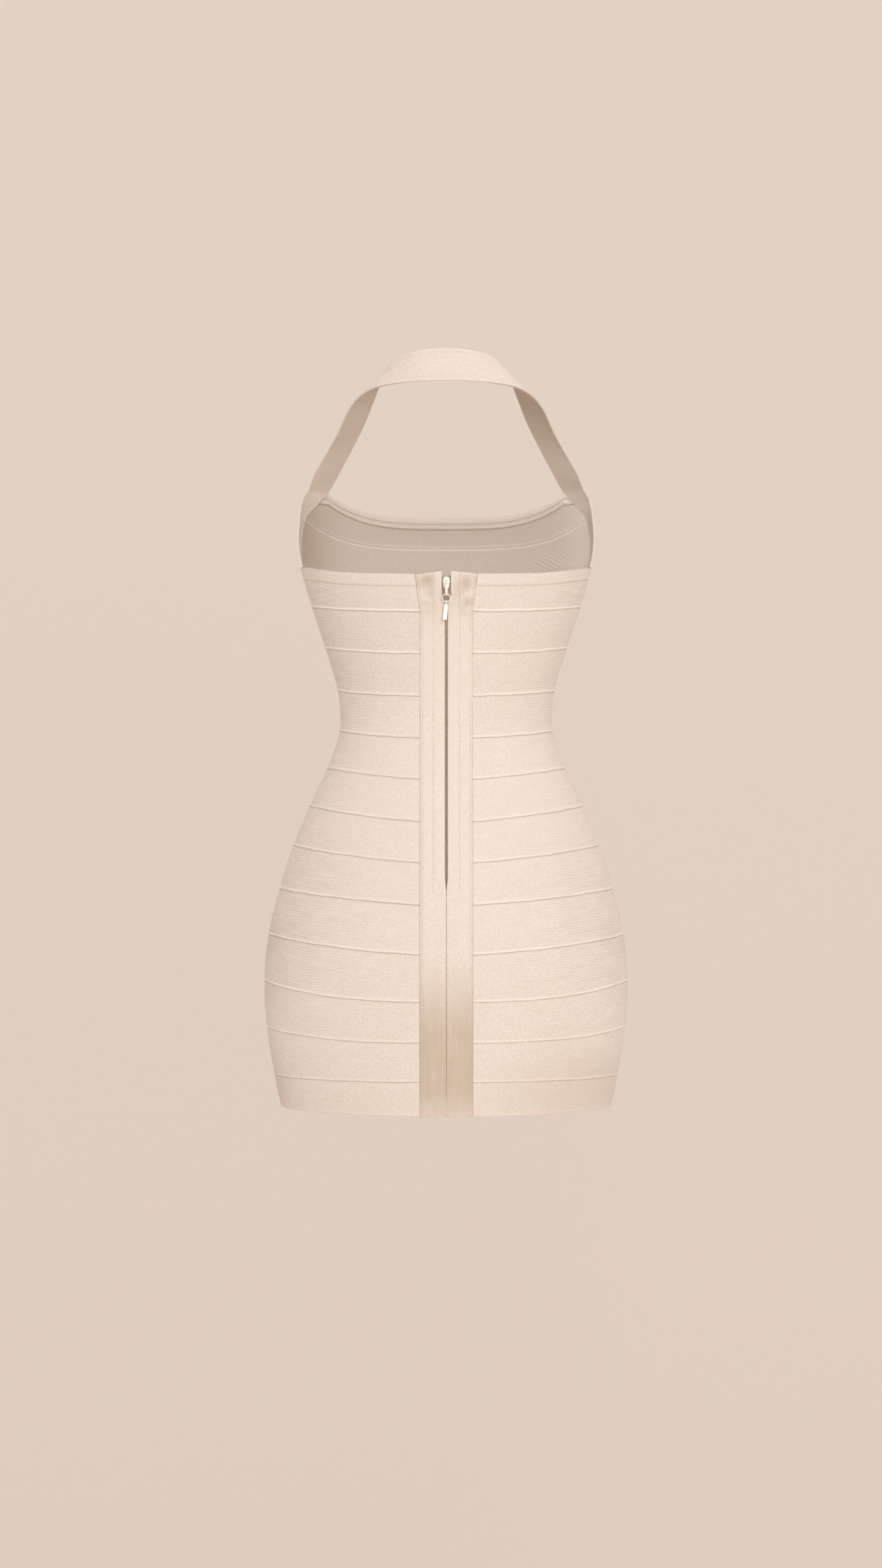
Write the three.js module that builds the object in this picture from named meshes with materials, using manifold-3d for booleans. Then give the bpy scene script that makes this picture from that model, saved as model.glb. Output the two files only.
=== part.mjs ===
// Bandage-knit mini dress with a halter strap and a centre-back zip, in millimetres, +Z up.
// The back of the dress faces -Y and the wearer's right hand is at +X.
// The garment is worked out in its own heights: z = 0 at the hem and y = 0 in the plane of the side seams.
// The whole garment then moves so that the origin lies where the nape carries the strap.
import * as THREE from 'three';
import Module from 'manifold-3d';
import { mergeVertices } from 'three/addons/utils/BufferGeometryUtils.js';

const wasm = await Module();
wasm.setup();

// Cloth
const WALL = 1.8;
const SEAM_GAP = 0.3;
const BAND_SEGMENTS = 40;
const FRONT_SEGMENTS = 20;
const SPAN_PASSES = 14;
const BAND_CROWN = 0.35;
const RIDGE_HEIGHT = 0.95;
const ARMHOLE_GAP = 0.45;
const BACK_HEM_DEPTH = 11.5;
const BACK_HEM_RISE = 0.55;
const NECK_HEM_DEPTH = 11;
const NECK_HEM_RISE = 0.5;

// Placket and zip
const PLACKET_OUTER_X = 25.5;
const PLACKET_TOP_OUTER_X = 30.5;
const PLACKET_FLARE_FROM_Z = 487.5;
const PLACKET_TOP_Z = 524;
const PLACKET_BOTTOM_Z = -1.2;
const PLACKET_STEP = 12.5;
const CHAIN_HALF_GAP = 1.3;
const SLIDER_HALF_GAP = 4.3;
const SLIDER_GAP_FROM_Z = 492;
const SLIDER_GAP_FULL_Z = 503;
const CHAIN_BOTTOM_Z = 216;
const CHAIN_CLOSE_LENGTH = 14;
const TAPE_WIDTH = 9;
const TAPE_THICKNESS = 0.8;
const TAPE_STEP = 12.5;
const TAPE_INNER_X = 0.4;
const TAPE_TOP_Z = 521;
const TAPE_BOTTOM_Z = 208;

// Slider, ring and bar
const PULL_AXIS_Z = 502.8;
const PULL_AXIS_OUT = 3.9;
const RING_RADIUS = 3.8;
const RING_WIRE = 0.62;
const PIVOT_HOLE = 1.05;
const LUG_RIM = 1.95;
const LUG_THICKNESS = 2;
const SLIDER_WIDTH = 7.2;
const SLIDER_TOP_Z = 519.6;
const SLIDER_LENGTH = 11.5;
const SLIDER_FACE_OUT = 1.9;
const SLIDER_LEAN = 0.5;
const BAR_WIDTH = 4;
const BAR_THICKNESS = 1.6;
const BAR_LENGTH = 17.5;
const BAR_EYE = 1.75;
const BAR_EYE_WIDTH = 2.2;

// Nape strap
const STRAP_THICKNESS = 1.8;
const STRAP_STATIONS = 30;
const STRAP_EDGE_RISE = 0.3;
const NAPE_Z = 729.2;
const NAPE_OUTER_Y = -61;

// Cross-sections of the worn dress: half width, depths to the back and the front, and how square each half is
const SECTIONS = [
  { z: -4, width: 162.6, back: 103.5, front: 91.5, backPower: 2.05, frontPower: 2.05 },
  { z: 0, width: 163.5, back: 104, front: 92, backPower: 2.05, frontPower: 2.05 },
  { z: 34.6, width: 170.5, back: 110, front: 95, backPower: 2.05, frontPower: 2.05 },
  { z: 80.2, width: 177.7, back: 117, front: 98, backPower: 2.05, frontPower: 2.05 },
  { z: 126.2, width: 179.9, back: 122, front: 100, backPower: 2.05, frontPower: 2.05 },
  { z: 171.4, width: 175.8, back: 123, front: 101, backPower: 2.05, frontPower: 2.05 },
  { z: 215.6, width: 165.3, back: 118, front: 101, backPower: 2.0, frontPower: 2.05 },
  { z: 257.6, width: 152, back: 108, front: 99, backPower: 2.0, frontPower: 2.05 },
  { z: 297.7, width: 135.5, back: 95, front: 96, backPower: 2.0, frontPower: 2.05 },
  { z: 335.3, width: 118, back: 84, front: 92, backPower: 2.0, frontPower: 2.05 },
  { z: 371.9, width: 105.6, back: 79, front: 88, backPower: 2.0, frontPower: 2.05 },
  { z: 411.3, width: 107.2, back: 82, front: 87, backPower: 2.05, frontPower: 2.1 },
  { z: 453.6, width: 119.3, back: 90, front: 92, backPower: 2.1, frontPower: 2.2 },
  { z: 494.6, width: 132.7, back: 97, front: 104, backPower: 2.15, frontPower: 2.4 },
  { z: 537.2, width: 144.8, back: 101, front: 116, backPower: 2.15, frontPower: 2.6 },
  { z: 562, width: 148.4, back: 102, front: 119, backPower: 2.15, frontPower: 2.7 },
  { z: 588, width: 148.6, back: 102, front: 114, backPower: 2.15, frontPower: 2.8 },
  { z: 618, width: 150, back: 102, front: 103, backPower: 2.15, frontPower: 2.8 },
];

// Heights of the seams between the bands at the side seam, the centre back and the centre front, and how far
// round the back a seam stays low before it bows up to the side
const FRONT_BOW = 2;
const BAND_EDGES = [
  { side: 533.5, back: 522.8, front: 522, bow: 3.6 },
  { side: 494.1, back: 486.2, front: 482, bow: 3.4 },
  { side: 453.6, back: 446.1, front: 444, bow: 3.4 },
  { side: 411.3, back: 404.9, front: 405, bow: 2.8 },
  { side: 371.9, back: 364.4, front: 369, bow: 2.4 },
  { side: 335.3, back: 323.6, front: 332, bow: 1.6 },
  { side: 298, back: 282.8, front: 293, bow: 1.6 },
  { side: 259, back: 243.6, front: 252, bow: 1.6 },
  { side: 216.6, back: 203.4, front: 210, bow: 1.6 },
  { side: 171.4, back: 156, front: 166, bow: 1.7 },
  { side: 126.2, back: 110.9, front: 121, bow: 3 },
  { side: 80.2, back: 71.2, front: 77, bow: 3.4 },
  { side: 32.6, back: 32.9, front: 33, bow: 2 },
  { side: 1.4, back: 0, front: 0, bow: 2 },
];
const FRONT_SEAM = { side: 592, front: 562 };
const NECKLINE = { corner: 615.2, front: 592.7 };

// Armhole edge of the front: where the strap meets the front strips, by height and by y
const ARMHOLE_EDGE = [
  { z: 524, y: 10 },
  { z: 534, y: 16.5 },
  { z: 545, y: 23.5 },
  { z: 560, y: 33 },
  { z: 574, y: 41.5 },
  { z: 588.5, y: 52.2 },
  { z: 596, y: 62 },
  { z: 603, y: 70.5 },
  { z: 616, y: 78.6 },
];

// Outer edge of the strap while it lies on the body: height and y at each station,
// paired with the armhole edge
const STRAP_ON_BODY = [
  { inner: 615.5, outer: 616.6, outerY: 55 },
  { inner: 609, outer: 611.8, outerY: 50 },
  { inner: 602, outer: 607, outerY: 44 },
  { inner: 595, outer: 601.4, outerY: 38.5 },
  { inner: 588.5, outer: 596, outerY: 33 },
  { inner: 574, outer: 581, outerY: 21 },
  { inner: 560, outer: 564, outerY: 8 },
  { inner: 547, outer: 548.8, outerY: -0.3 },
  { inner: 534.2, outer: 534.2, outerY: -8 },
];

// Free part of the strap, right half from the nape to the front: neck-side edge and shoulder-side edge
const STRAP_FREE = [
  { neck: [0, -61, 744.7], shoulder: [0, -61, 713.7] },
  { neck: [24, -58.5, 743], shoulder: [26, -58.5, 713.2] },
  { neck: [42, -47, 739.5], shoulder: [49.5, -48, 712.3] },
  { neck: [55.5, -29, 732.5], shoulder: [72.5, -31.5, 709.5] },
  { neck: [64.5, -6, 721.5], shoulder: [88, -13, 702.5] },
  { neck: [72, 17, 706], shoulder: [98.5, 5, 690.5] },
  { neck: [82, 39, 684], shoulder: [108.5, 24, 672] },
  { neck: [94.3, 57, 661.5], shoulder: [121, 41, 652.5] },
  { neck: [108, 69.5, 637.5], shoulder: [132.5, 50, 634] },
];

// Points across one wall, outer face first: share of the way down, rise in mm above that,
// height above the face
const BAND_PROFILE = [
  { down: 0, up: 0, out: 0.05 },
  { down: 0.5, up: 0, out: BAND_CROWN },
  { down: 1, up: 3.4, out: 0.15 },
  { down: 1, up: 2.3, out: RIDGE_HEIGHT },
  { down: 1, up: 0.8, out: RIDGE_HEIGHT },
  { down: 1, up: 0, out: 0.1 },
  { down: 1, up: 0, out: -WALL },
  { down: 0, up: 0, out: -WALL },
];
const BUST_PROFILE = [
  { down: 0, up: 0, out: 0.05 },
  { down: 0.25, up: 0, out: 0.26 },
  { down: 0.5, up: 0, out: BAND_CROWN },
  { down: 0.72, up: 0, out: 0.28 },
  { down: 0.86, up: 0, out: 0.18 },
  ...BAND_PROFILE.slice(2, -1),
  { down: 0.86, up: 0, out: -WALL },
  { down: 0.72, up: 0, out: -WALL },
  { down: 0.5, up: 0, out: -WALL },
  { down: 0.25, up: 0, out: -WALL },
  { down: 0, up: 0, out: -WALL },
];
const HEM_PROFILE = [
  { down: 0, up: 0, out: 0.1, hem: BACK_HEM_RISE },
  { down: 0, up: -BACK_HEM_DEPTH, out: 0.15, hem: BACK_HEM_RISE },
  { down: 0, up: -BACK_HEM_DEPTH - 1, out: 0.15 },
  ...BAND_PROFILE.slice(1, -1),
  { down: 0, up: -BACK_HEM_DEPTH, out: -WALL },
  { down: 0, up: 0, out: -WALL, hem: -BACK_HEM_RISE },
];
const NECK_PROFILE = [
  { down: 0, up: 0, out: 0.1, hem: NECK_HEM_RISE },
  { down: 0, up: -NECK_HEM_DEPTH / 2, out: 0.2, hem: NECK_HEM_RISE },
  { down: 0, up: -NECK_HEM_DEPTH, out: 0.15, hem: NECK_HEM_RISE },
  { down: 0, up: -NECK_HEM_DEPTH - 1, out: 0.15 },
  { down: 0.56, up: 0, out: 0.2 },
  { down: 0.75, up: 0, out: 0.2 },
  ...BAND_PROFILE.slice(2, -1),
  { down: 0.8, up: 0, out: -WALL - 0.1 },
  { down: 0.6, up: 0, out: -WALL - 0.1 },
  { down: 0, up: -NECK_HEM_DEPTH, out: -WALL },
  { down: 0, up: -NECK_HEM_DEPTH / 2, out: -WALL - 0.05, hem: -NECK_HEM_RISE },
  { down: 0, up: 0, out: -WALL, hem: -NECK_HEM_RISE },
];

// Points across one placket strip: x as a share of its width from the zip, height above the cloth's face
const PLACKET_PROFILE = [
  { across: 0, out: 0.45 },
  { across: 0.06, out: 0.95 },
  { across: 0.26, out: 1.1 },
  { across: 0.44, out: 0.95 },
  { across: 0.48, out: 0.5 },
  { across: 0.52, out: 0.95 },
  { across: 0.7, out: 1.1 },
  { across: 0.86, out: 0.95 },
  { across: 0.9, out: 0.5 },
  { across: 0.94, out: 0.9 },
  { across: 1, out: 0.4 },
  { across: 1, out: -WALL },
  { across: 0.4, out: -WALL + 0.05 },
  { across: 0, out: -WALL },
];

// Points across the strap: share of its width from the neck side, height above its outer face
const STRAP_PROFILE = [
  { across: 0, out: 0 },
  { across: 0.07, out: STRAP_EDGE_RISE },
  { across: 0.5, out: 0.1 },
  { across: 0.93, out: STRAP_EDGE_RISE },
  { across: 1, out: 0 },
  { across: 1, out: -STRAP_THICKNESS },
  { across: 0, out: -STRAP_THICKNESS },
];

const KNIT = { color: 0xefe0d0, roughness: 0.82, metalness: 0 };
const PLACKET_KNIT = { color: 0xeddccb, roughness: 0.8, metalness: 0 };
const STRAP_KNIT = { color: 0xe6d6c6, roughness: 0.82, metalness: 0 };
const TAPE_WEAVE = { color: 0xe9dccd, roughness: 0.85, metalness: 0 };
const PAINTED_METAL = { color: 0xf2ece2, roughness: 0.35, metalness: 0.3 };

// Smooth value of a table column at a height, with slopes from the neighbouring rows
function tableValue(table, column, z) {
  const last = table.length - 1;
  const at = THREE.MathUtils.clamp(z, table[0].z, table[last].z);
  let row = 0;
  while (row < last - 1 && table[row + 1].z < at) row += 1;
  const slope = (index) => {
    const before = table[Math.max(index - 1, 0)];
    const after = table[Math.min(index + 1, last)];
    return (after[column] - before[column]) / (after.z - before.z);
  };
  const span = table[row + 1].z - table[row].z;
  const t = (at - table[row].z) / span;
  const rise = t * t * (3 - 2 * t);
  const leave = t * (1 - t) * (1 - t) * span;
  const arrive = t * t * (t - 1) * span;
  const base = THREE.MathUtils.lerp(table[row][column], table[row + 1][column], rise);
  return base + leave * slope(row) + arrive * slope(row + 1);
}

// Point on the cloth's outer face. The angle runs from 0 at the centre back over pi / 2 at the side at +X
// to pi at the centre front, and negative angles mirror it.
function facePoint(angle, z) {
  const onBack = Math.cos(angle) > 0;
  const power = tableValue(SECTIONS, onBack ? 'backPower' : 'frontPower', z);
  const depth = tableValue(SECTIONS, onBack ? 'back' : 'front', z);
  const x = Math.sign(Math.sin(angle)) * Math.abs(Math.sin(angle)) ** (2 / power);
  const y = Math.abs(Math.cos(angle)) ** (2 / power);
  return new THREE.Vector3(x * tableValue(SECTIONS, 'width', z), (onBack ? -y : y) * depth, z);
}

function faceNormal(angle, z) {
  const step = 0.02;
  const round = facePoint(angle + step, z).sub(facePoint(angle - step, z));
  const upward = facePoint(angle, z + 1).sub(facePoint(angle, z - 1));
  return round.cross(upward).normalize();
}

function raisedPoint(angle, z, out) {
  return facePoint(angle, z).addScaledVector(faceNormal(angle, z), out);
}

// Angle of the point at a given x, on the back or on the front
function angleAtX(x, z, onBack) {
  const power = tableValue(SECTIONS, onBack ? 'backPower' : 'frontPower', z);
  const share = Math.min(x / tableValue(SECTIONS, 'width', z), 1);
  const fromCentre = Math.asin(share ** (power / 2));
  return onBack ? fromCentre : Math.PI - fromCentre;
}

// Angle of the point at a given y near the side
function angleAtY(y, z) {
  const onBack = y < 0;
  const power = tableValue(SECTIONS, onBack ? 'backPower' : 'frontPower', z);
  const depth = tableValue(SECTIONS, onBack ? 'back' : 'front', z);
  const fromSide = Math.asin((Math.abs(y) / depth) ** (power / 2));
  return Math.PI / 2 + (onBack ? -fromSide : fromSide);
}

// Height of a seam round the body: level at the side, easing to the centre back or the centre front
function edgeHeight(edge, angle) {
  const onBack = Math.cos(angle) > 0;
  const share = Math.abs(Math.sin(angle)) ** (onBack ? edge.bow : FRONT_BOW);
  return THREE.MathUtils.lerp(onBack ? edge.back : edge.front, edge.side, share);
}

function placketOuterX(z) {
  const flare = Math.max((z - PLACKET_FLARE_FROM_Z) / (PLACKET_TOP_Z - PLACKET_FLARE_FROM_Z), 0);
  return THREE.MathUtils.lerp(PLACKET_OUTER_X, PLACKET_TOP_OUTER_X, flare);
}

function placketInnerX(z) {
  const atSlider = THREE.MathUtils.smoothstep(z, SLIDER_GAP_FROM_Z, SLIDER_GAP_FULL_Z);
  const aboveEnd = THREE.MathUtils.smoothstep(z, CHAIN_BOTTOM_Z, CHAIN_BOTTOM_Z + CHAIN_CLOSE_LENGTH);
  const chain = THREE.MathUtils.lerp(SEAM_GAP / 2, CHAIN_HALF_GAP, aboveEnd);
  return THREE.MathUtils.lerp(chain, SLIDER_HALF_GAP, atSlider);
}

function armholeAngle(z) {
  return angleAtY(tableValue(ARMHOLE_EDGE, 'y', z), z);
}

// Angle that keeps the bust strips clear of the strap by the armhole gap, square to the armhole edge
function armholeGapAngle(z) {
  const step = 0.01;
  const angle = armholeAngle(z);
  const above = facePoint(armholeAngle(z + 1), z + 1);
  const upward = above.sub(facePoint(armholeAngle(z - 1), z - 1)).normalize();
  const around = facePoint(angle + step, z).sub(facePoint(angle, z)).divideScalar(step);
  return ARMHOLE_GAP / around.cross(upward).length();
}

// Closed body through a row of stations, each the same closed loop of points, with flat ends.
// capLoop holds the loop's points in its own plane, for the triangles of the two ends.
function loftGeometry(stations, capLoop) {
  const count = capLoop.length;
  const positions = stations.flat().flatMap((point) => point.toArray());
  const triangles = [];
  for (let row = 0; row < stations.length - 1; row += 1) {
    for (let i = 0; i < count; i += 1) {
      const next = (i + 1) % count;
      const a = row * count + i;
      const b = row * count + next;
      triangles.push([a, b, b + count], [a, b + count, a + count]);
    }
  }
  const end = (stations.length - 1) * count;
  const turned = THREE.ShapeUtils.isClockWise(capLoop);
  for (const [i, second, third] of THREE.ShapeUtils.triangulateShape(capLoop, [])) {
    const [j, k] = turned ? [third, second] : [second, third];
    triangles.push([i, k, j], [end + i, end + j, end + k]);
  }
  const corner = new THREE.Vector3();
  const side = new THREE.Vector3();
  const far = new THREE.Vector3();
  let volume = 0;
  for (const [a, b, c] of triangles) {
    corner.fromArray(positions, a * 3);
    side.fromArray(positions, b * 3);
    far.fromArray(positions, c * 3);
    volume += corner.dot(side.cross(far));
  }
  const outward = volume < 0 ? triangles.map(([a, b, c]) => [a, c, b]) : triangles;
  const geometry = new THREE.BufferGeometry();
  geometry.setAttribute('position', new THREE.Float32BufferAttribute(positions, 3));
  geometry.setIndex(outward.flat());
  geometry.computeVertexNormals();
  return geometry;
}

function namedMesh(name, geometry, finish) {
  const mesh = new THREE.Mesh(geometry, new THREE.MeshStandardMaterial(finish));
  mesh.name = name;
  return mesh;
}

// Flat copy of a wall's loop, as high as a typical strip
function flatLoop(profile) {
  const typicalHeight = 40;
  return profile.map((row) => new THREE.Vector2(row.up - row.down * typicalHeight, row.out + (row.hem ?? 0)));
}

// Strip of wall round the body. span(z) gives the first and last angle, upper and lower the two edges.
function stripGeometry(profile, upper, lower, span, segments, hemShare) {
  const stations = [];
  for (let step = 0; step <= segments; step += 1) {
    stations.push(profile.map((row) => {
      let z = THREE.MathUtils.lerp(upper(Math.PI / 2), lower(Math.PI / 2), row.down) + row.up;
      let angle = 0;
      for (let pass = 0; pass < SPAN_PASSES; pass += 1) {
        const [first, last] = span(z);
        angle = THREE.MathUtils.lerp(first, last, step / segments);
        const top = upper(angle) - SEAM_GAP / 2;
        const bottom = lower(angle) + SEAM_GAP / 2;
        z = THREE.MathUtils.lerp(top, bottom, row.down) + row.up;
      }
      return raisedPoint(angle, z, row.out + (row.hem ?? 0) * hemShare(angle));
    }));
  }
  return loftGeometry(stations, flatLoop(profile));
}

function makeBand(index) {
  const upper = (angle) => edgeHeight(BAND_EDGES[index], angle);
  const lower = (angle) => edgeHeight(BAND_EDGES[index + 1], angle);
  const span = (z) => {
    const first = angleAtX(placketOuterX(z) + SEAM_GAP, z, true);
    return [first, 2 * Math.PI - first];
  };
  const hemShare = (angle) => THREE.MathUtils.smoothstep(Math.cos(angle), 0.02, 0.12);
  const profile = index === 0 ? HEM_PROFILE : BAND_PROFILE;
  const name = `band_${String(index + 1).padStart(2, '0')}`;
  return namedMesh(name, stripGeometry(profile, upper, lower, span, BAND_SEGMENTS, hemShare), KNIT);
}

function frontSeamHeight(angle) {
  const side = Math.abs(Math.sin(angle)) ** 3;
  return THREE.MathUtils.lerp(FRONT_SEAM.front, FRONT_SEAM.side, side);
}

function necklineHeight(angle) {
  const corner = Math.abs(Math.sin(armholeAngle(NECKLINE.corner)));
  const share = Math.min(Math.abs(Math.sin(angle)) / corner, 1);
  return THREE.MathUtils.lerp(NECKLINE.front, NECKLINE.corner, share ** 2.6);
}

function makeFrontStrip(name, profile, upper, lower) {
  const span = (z) => {
    const first = armholeAngle(z) + armholeGapAngle(z);
    return [first, 2 * Math.PI - first];
  };
  return namedMesh(name, stripGeometry(profile, upper, lower, span, FRONT_SEGMENTS, () => 1), KNIT);
}

// Loop of points across the strap where it hangs free between its two edges
function freeStrapLoop(row, before, after) {
  const middle = (edges) => new THREE.Vector3(...edges.neck).add(new THREE.Vector3(...edges.shoulder));
  const neck = new THREE.Vector3(...row.neck);
  const shoulder = new THREE.Vector3(...row.shoulder);
  const out = middle(after).sub(middle(before)).cross(neck.clone().sub(shoulder)).normalize();
  return STRAP_PROFILE.map((point) => {
    return neck.clone().lerp(shoulder, point.across).addScaledVector(out, point.out);
  });
}

// Loop of points across the strap where it lies against the body beside the armhole edge
function bodyStrapLoop(row) {
  const neckAngle = armholeAngle(row.inner);
  const shoulderAngle = angleAtY(row.outerY, row.outer);
  return STRAP_PROFILE.map((point) => {
    const angle = THREE.MathUtils.lerp(neckAngle, shoulderAngle, point.across);
    return raisedPoint(angle, THREE.MathUtils.lerp(row.inner, row.outer, point.across), point.out);
  });
}

// The halter strap runs from the side seam at -X over the nape to the side seam at +X
function makeStrap() {
  const mirrored = (edge) => [-edge[0], edge[1], edge[2]];
  const beforeNape = { neck: mirrored(STRAP_FREE[1].neck), shoulder: mirrored(STRAP_FREE[1].shoulder) };
  const firstOnBody = bodyStrapLoop(STRAP_ON_BODY[0]);
  const afterFree = { neck: firstOnBody[0].toArray(), shoulder: firstOnBody[4].toArray() };
  const loops = STRAP_FREE.map((row, index) => {
    return freeStrapLoop(row, STRAP_FREE[index - 1] ?? beforeNape, STRAP_FREE[index + 1] ?? afterFree);
  });
  loops.push(...STRAP_ON_BODY.map(bodyStrapLoop));
  const edges = STRAP_PROFILE.map((point, corner) => {
    const half = loops.map((loop) => loop[corner]);
    const otherHalf = half.slice(1).reverse().map((at) => new THREE.Vector3(-at.x, at.y, at.z));
    return new THREE.CatmullRomCurve3([...otherHalf, ...half]);
  });
  const stations = [];
  for (let step = 0; step <= 2 * STRAP_STATIONS; step += 1) {
    stations.push(edges.map((edge) => edge.getPoint(step / (2 * STRAP_STATIONS))));
  }
  const typicalWidth = 31;
  const loop = STRAP_PROFILE.map((row) => new THREE.Vector2(row.across * typicalWidth, row.out));
  return namedMesh('halter_strap', loftGeometry(stations, loop), STRAP_KNIT);
}

// Heights from the first to the last with the ones between them kept, no further apart than a step
function stepHeights(heights, longest) {
  const all = [heights[0]];
  for (let leg = 1; leg < heights.length; leg += 1) {
    const [from, to] = [heights[leg - 1], heights[leg]];
    const steps = Math.ceil(Math.abs(to - from) / longest);
    for (let step = 1; step <= steps; step += 1) all.push(THREE.MathUtils.lerp(from, to, step / steps));
  }
  return all;
}

// Long strip beside the zip, with x from inner(z) to outer(z) on one side of the centre back
function backStrip(name, side, profile, inner, outer, heights, finish) {
  const stations = heights.map((z) => profile.map((row) => {
    const x = THREE.MathUtils.lerp(inner(z), outer(z), row.across);
    return raisedPoint(side * angleAtX(x, z, true), z, row.out);
  }));
  const typicalWidth = 25;
  const loop = profile.map((row) => new THREE.Vector2(row.across * typicalWidth, row.out));
  return namedMesh(name, loftGeometry(stations, loop), finish);
}

function makePlacket(name, side) {
  const turns = [PLACKET_TOP_Z, SLIDER_GAP_FULL_Z, SLIDER_GAP_FROM_Z, PLACKET_FLARE_FROM_Z, PLACKET_BOTTOM_Z];
  const heights = stepHeights(turns, PLACKET_STEP);
  return backStrip(name, side, PLACKET_PROFILE, placketInnerX, placketOuterX, heights, PLACKET_KNIT);
}

// Tape behind a placket strip, from just above the foot of the chain to just below the top edge
function makeTape(name, side) {
  const face = -WALL - SEAM_GAP;
  const profile = [
    { across: 0, out: face },
    { across: 1, out: face },
    { across: 1, out: face - TAPE_THICKNESS },
    { across: 0, out: face - TAPE_THICKNESS },
  ];
  const inner = () => TAPE_INNER_X;
  const outer = () => TAPE_INNER_X + TAPE_WIDTH;
  const heights = stepHeights([TAPE_TOP_Z, TAPE_BOTTOM_Z], TAPE_STEP);
  return backStrip(name, side, profile, inner, outer, heights, TAPE_WEAVE);
}

// Closed solid with shared corners for joining and cutting
function toSolid(geometry) {
  const bare = geometry.clone();
  bare.deleteAttribute('normal');
  bare.deleteAttribute('uv');
  const merged = mergeVertices(bare, 1e-5);
  const vertProperties = Float32Array.from(merged.attributes.position.array);
  const triVerts = Uint32Array.from(merged.index.array);
  return new wasm.Manifold(new wasm.Mesh({ numProp: 3, vertProperties, triVerts }));
}

function fromSolid(solid) {
  const mesh = solid.getMesh();
  const geometry = new THREE.BufferGeometry();
  geometry.setAttribute('position', new THREE.BufferAttribute(mesh.vertProperties, 3));
  geometry.setIndex(new THREE.BufferAttribute(mesh.triVerts, 1));
  geometry.computeVertexNormals();
  return geometry;
}

// Plate cut from an outline in (y, z), centred on x = 0
function sidePlate(shape, thickness) {
  const extrusion = { depth: thickness, bevelEnabled: false, curveSegments: 8 };
  const geometry = new THREE.ExtrudeGeometry(shape, extrusion);
  geometry.translate(0, 0, -thickness / 2);
  geometry.rotateX(Math.PI / 2);
  geometry.rotateZ(Math.PI / 2);
  return geometry;
}

// Y of the pull's hinge line, which lies outside the cloth's face on the back
const pullAxisY = facePoint(0, PULL_AXIS_Z).y - PULL_AXIS_OUT;

function makeSlider() {
  const faceY = facePoint(0, SLIDER_TOP_Z - SLIDER_LENGTH / 2).y;
  const half = SLIDER_WIDTH / 2;
  const waist = half * 0.72;
  const crown = new THREE.Shape();
  crown.moveTo(-half * 0.55, SLIDER_TOP_Z);
  crown.lineTo(half * 0.55, SLIDER_TOP_Z);
  crown.quadraticCurveTo(half, SLIDER_TOP_Z - 0.4, half, SLIDER_TOP_Z - 3);
  crown.lineTo(waist, SLIDER_TOP_Z - SLIDER_LENGTH + 1);
  crown.lineTo(waist - 1, SLIDER_TOP_Z - SLIDER_LENGTH);
  crown.lineTo(-waist + 1, SLIDER_TOP_Z - SLIDER_LENGTH);
  crown.lineTo(-waist, SLIDER_TOP_Z - SLIDER_LENGTH + 1);
  crown.lineTo(-half, SLIDER_TOP_Z - 3);
  crown.quadraticCurveTo(-half, SLIDER_TOP_Z - 0.4, -half * 0.55, SLIDER_TOP_Z);
  const depth = SLIDER_FACE_OUT + WALL - SLIDER_LEAN;
  const body = new THREE.ExtrudeGeometry(crown, { depth, bevelEnabled: false, curveSegments: 5 });
  body.rotateX(Math.PI / 2);
  body.translate(0, faceY + WALL - SLIDER_LEAN, 0);
  const lug = new THREE.Shape();
  lug.moveTo(faceY - 1, SLIDER_TOP_Z - 2.6);
  lug.lineTo(pullAxisY + 0.4, SLIDER_TOP_Z - 3.4);
  lug.quadraticCurveTo(pullAxisY - LUG_RIM, SLIDER_TOP_Z - 5, pullAxisY - LUG_RIM, PULL_AXIS_Z + 5);
  lug.lineTo(pullAxisY - LUG_RIM, PULL_AXIS_Z);
  lug.absarc(pullAxisY, PULL_AXIS_Z, LUG_RIM, Math.PI, 2 * Math.PI, false);
  lug.lineTo(pullAxisY + LUG_RIM, SLIDER_TOP_Z - SLIDER_LENGTH + 1.5);
  lug.lineTo(faceY - 1, SLIDER_TOP_Z - SLIDER_LENGTH + 1.5);
  lug.closePath();
  const eye = new THREE.Path();
  eye.absarc(pullAxisY, PULL_AXIS_Z, PIVOT_HOLE, 0, 2 * Math.PI, true);
  lug.holes.push(eye);
  const joined = toSolid(body).add(toSolid(sidePlate(lug, LUG_THICKNESS)));
  return namedMesh('zip_slider', fromSolid(joined), PAINTED_METAL);
}

// The ring hangs in the lug's eye, so the middle of its wire passes through the hinge line
function makeRing() {
  const ring = new THREE.TorusGeometry(RING_RADIUS, RING_WIRE, 8, 24);
  ring.rotateX(Math.PI / 2);
  const closed = fromSolid(toSolid(ring));
  const mesh = namedMesh('zip_pull_ring', closed, PAINTED_METAL);
  mesh.position.set(0, pullAxisY, PULL_AXIS_Z - RING_RADIUS);
  return mesh;
}

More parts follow.
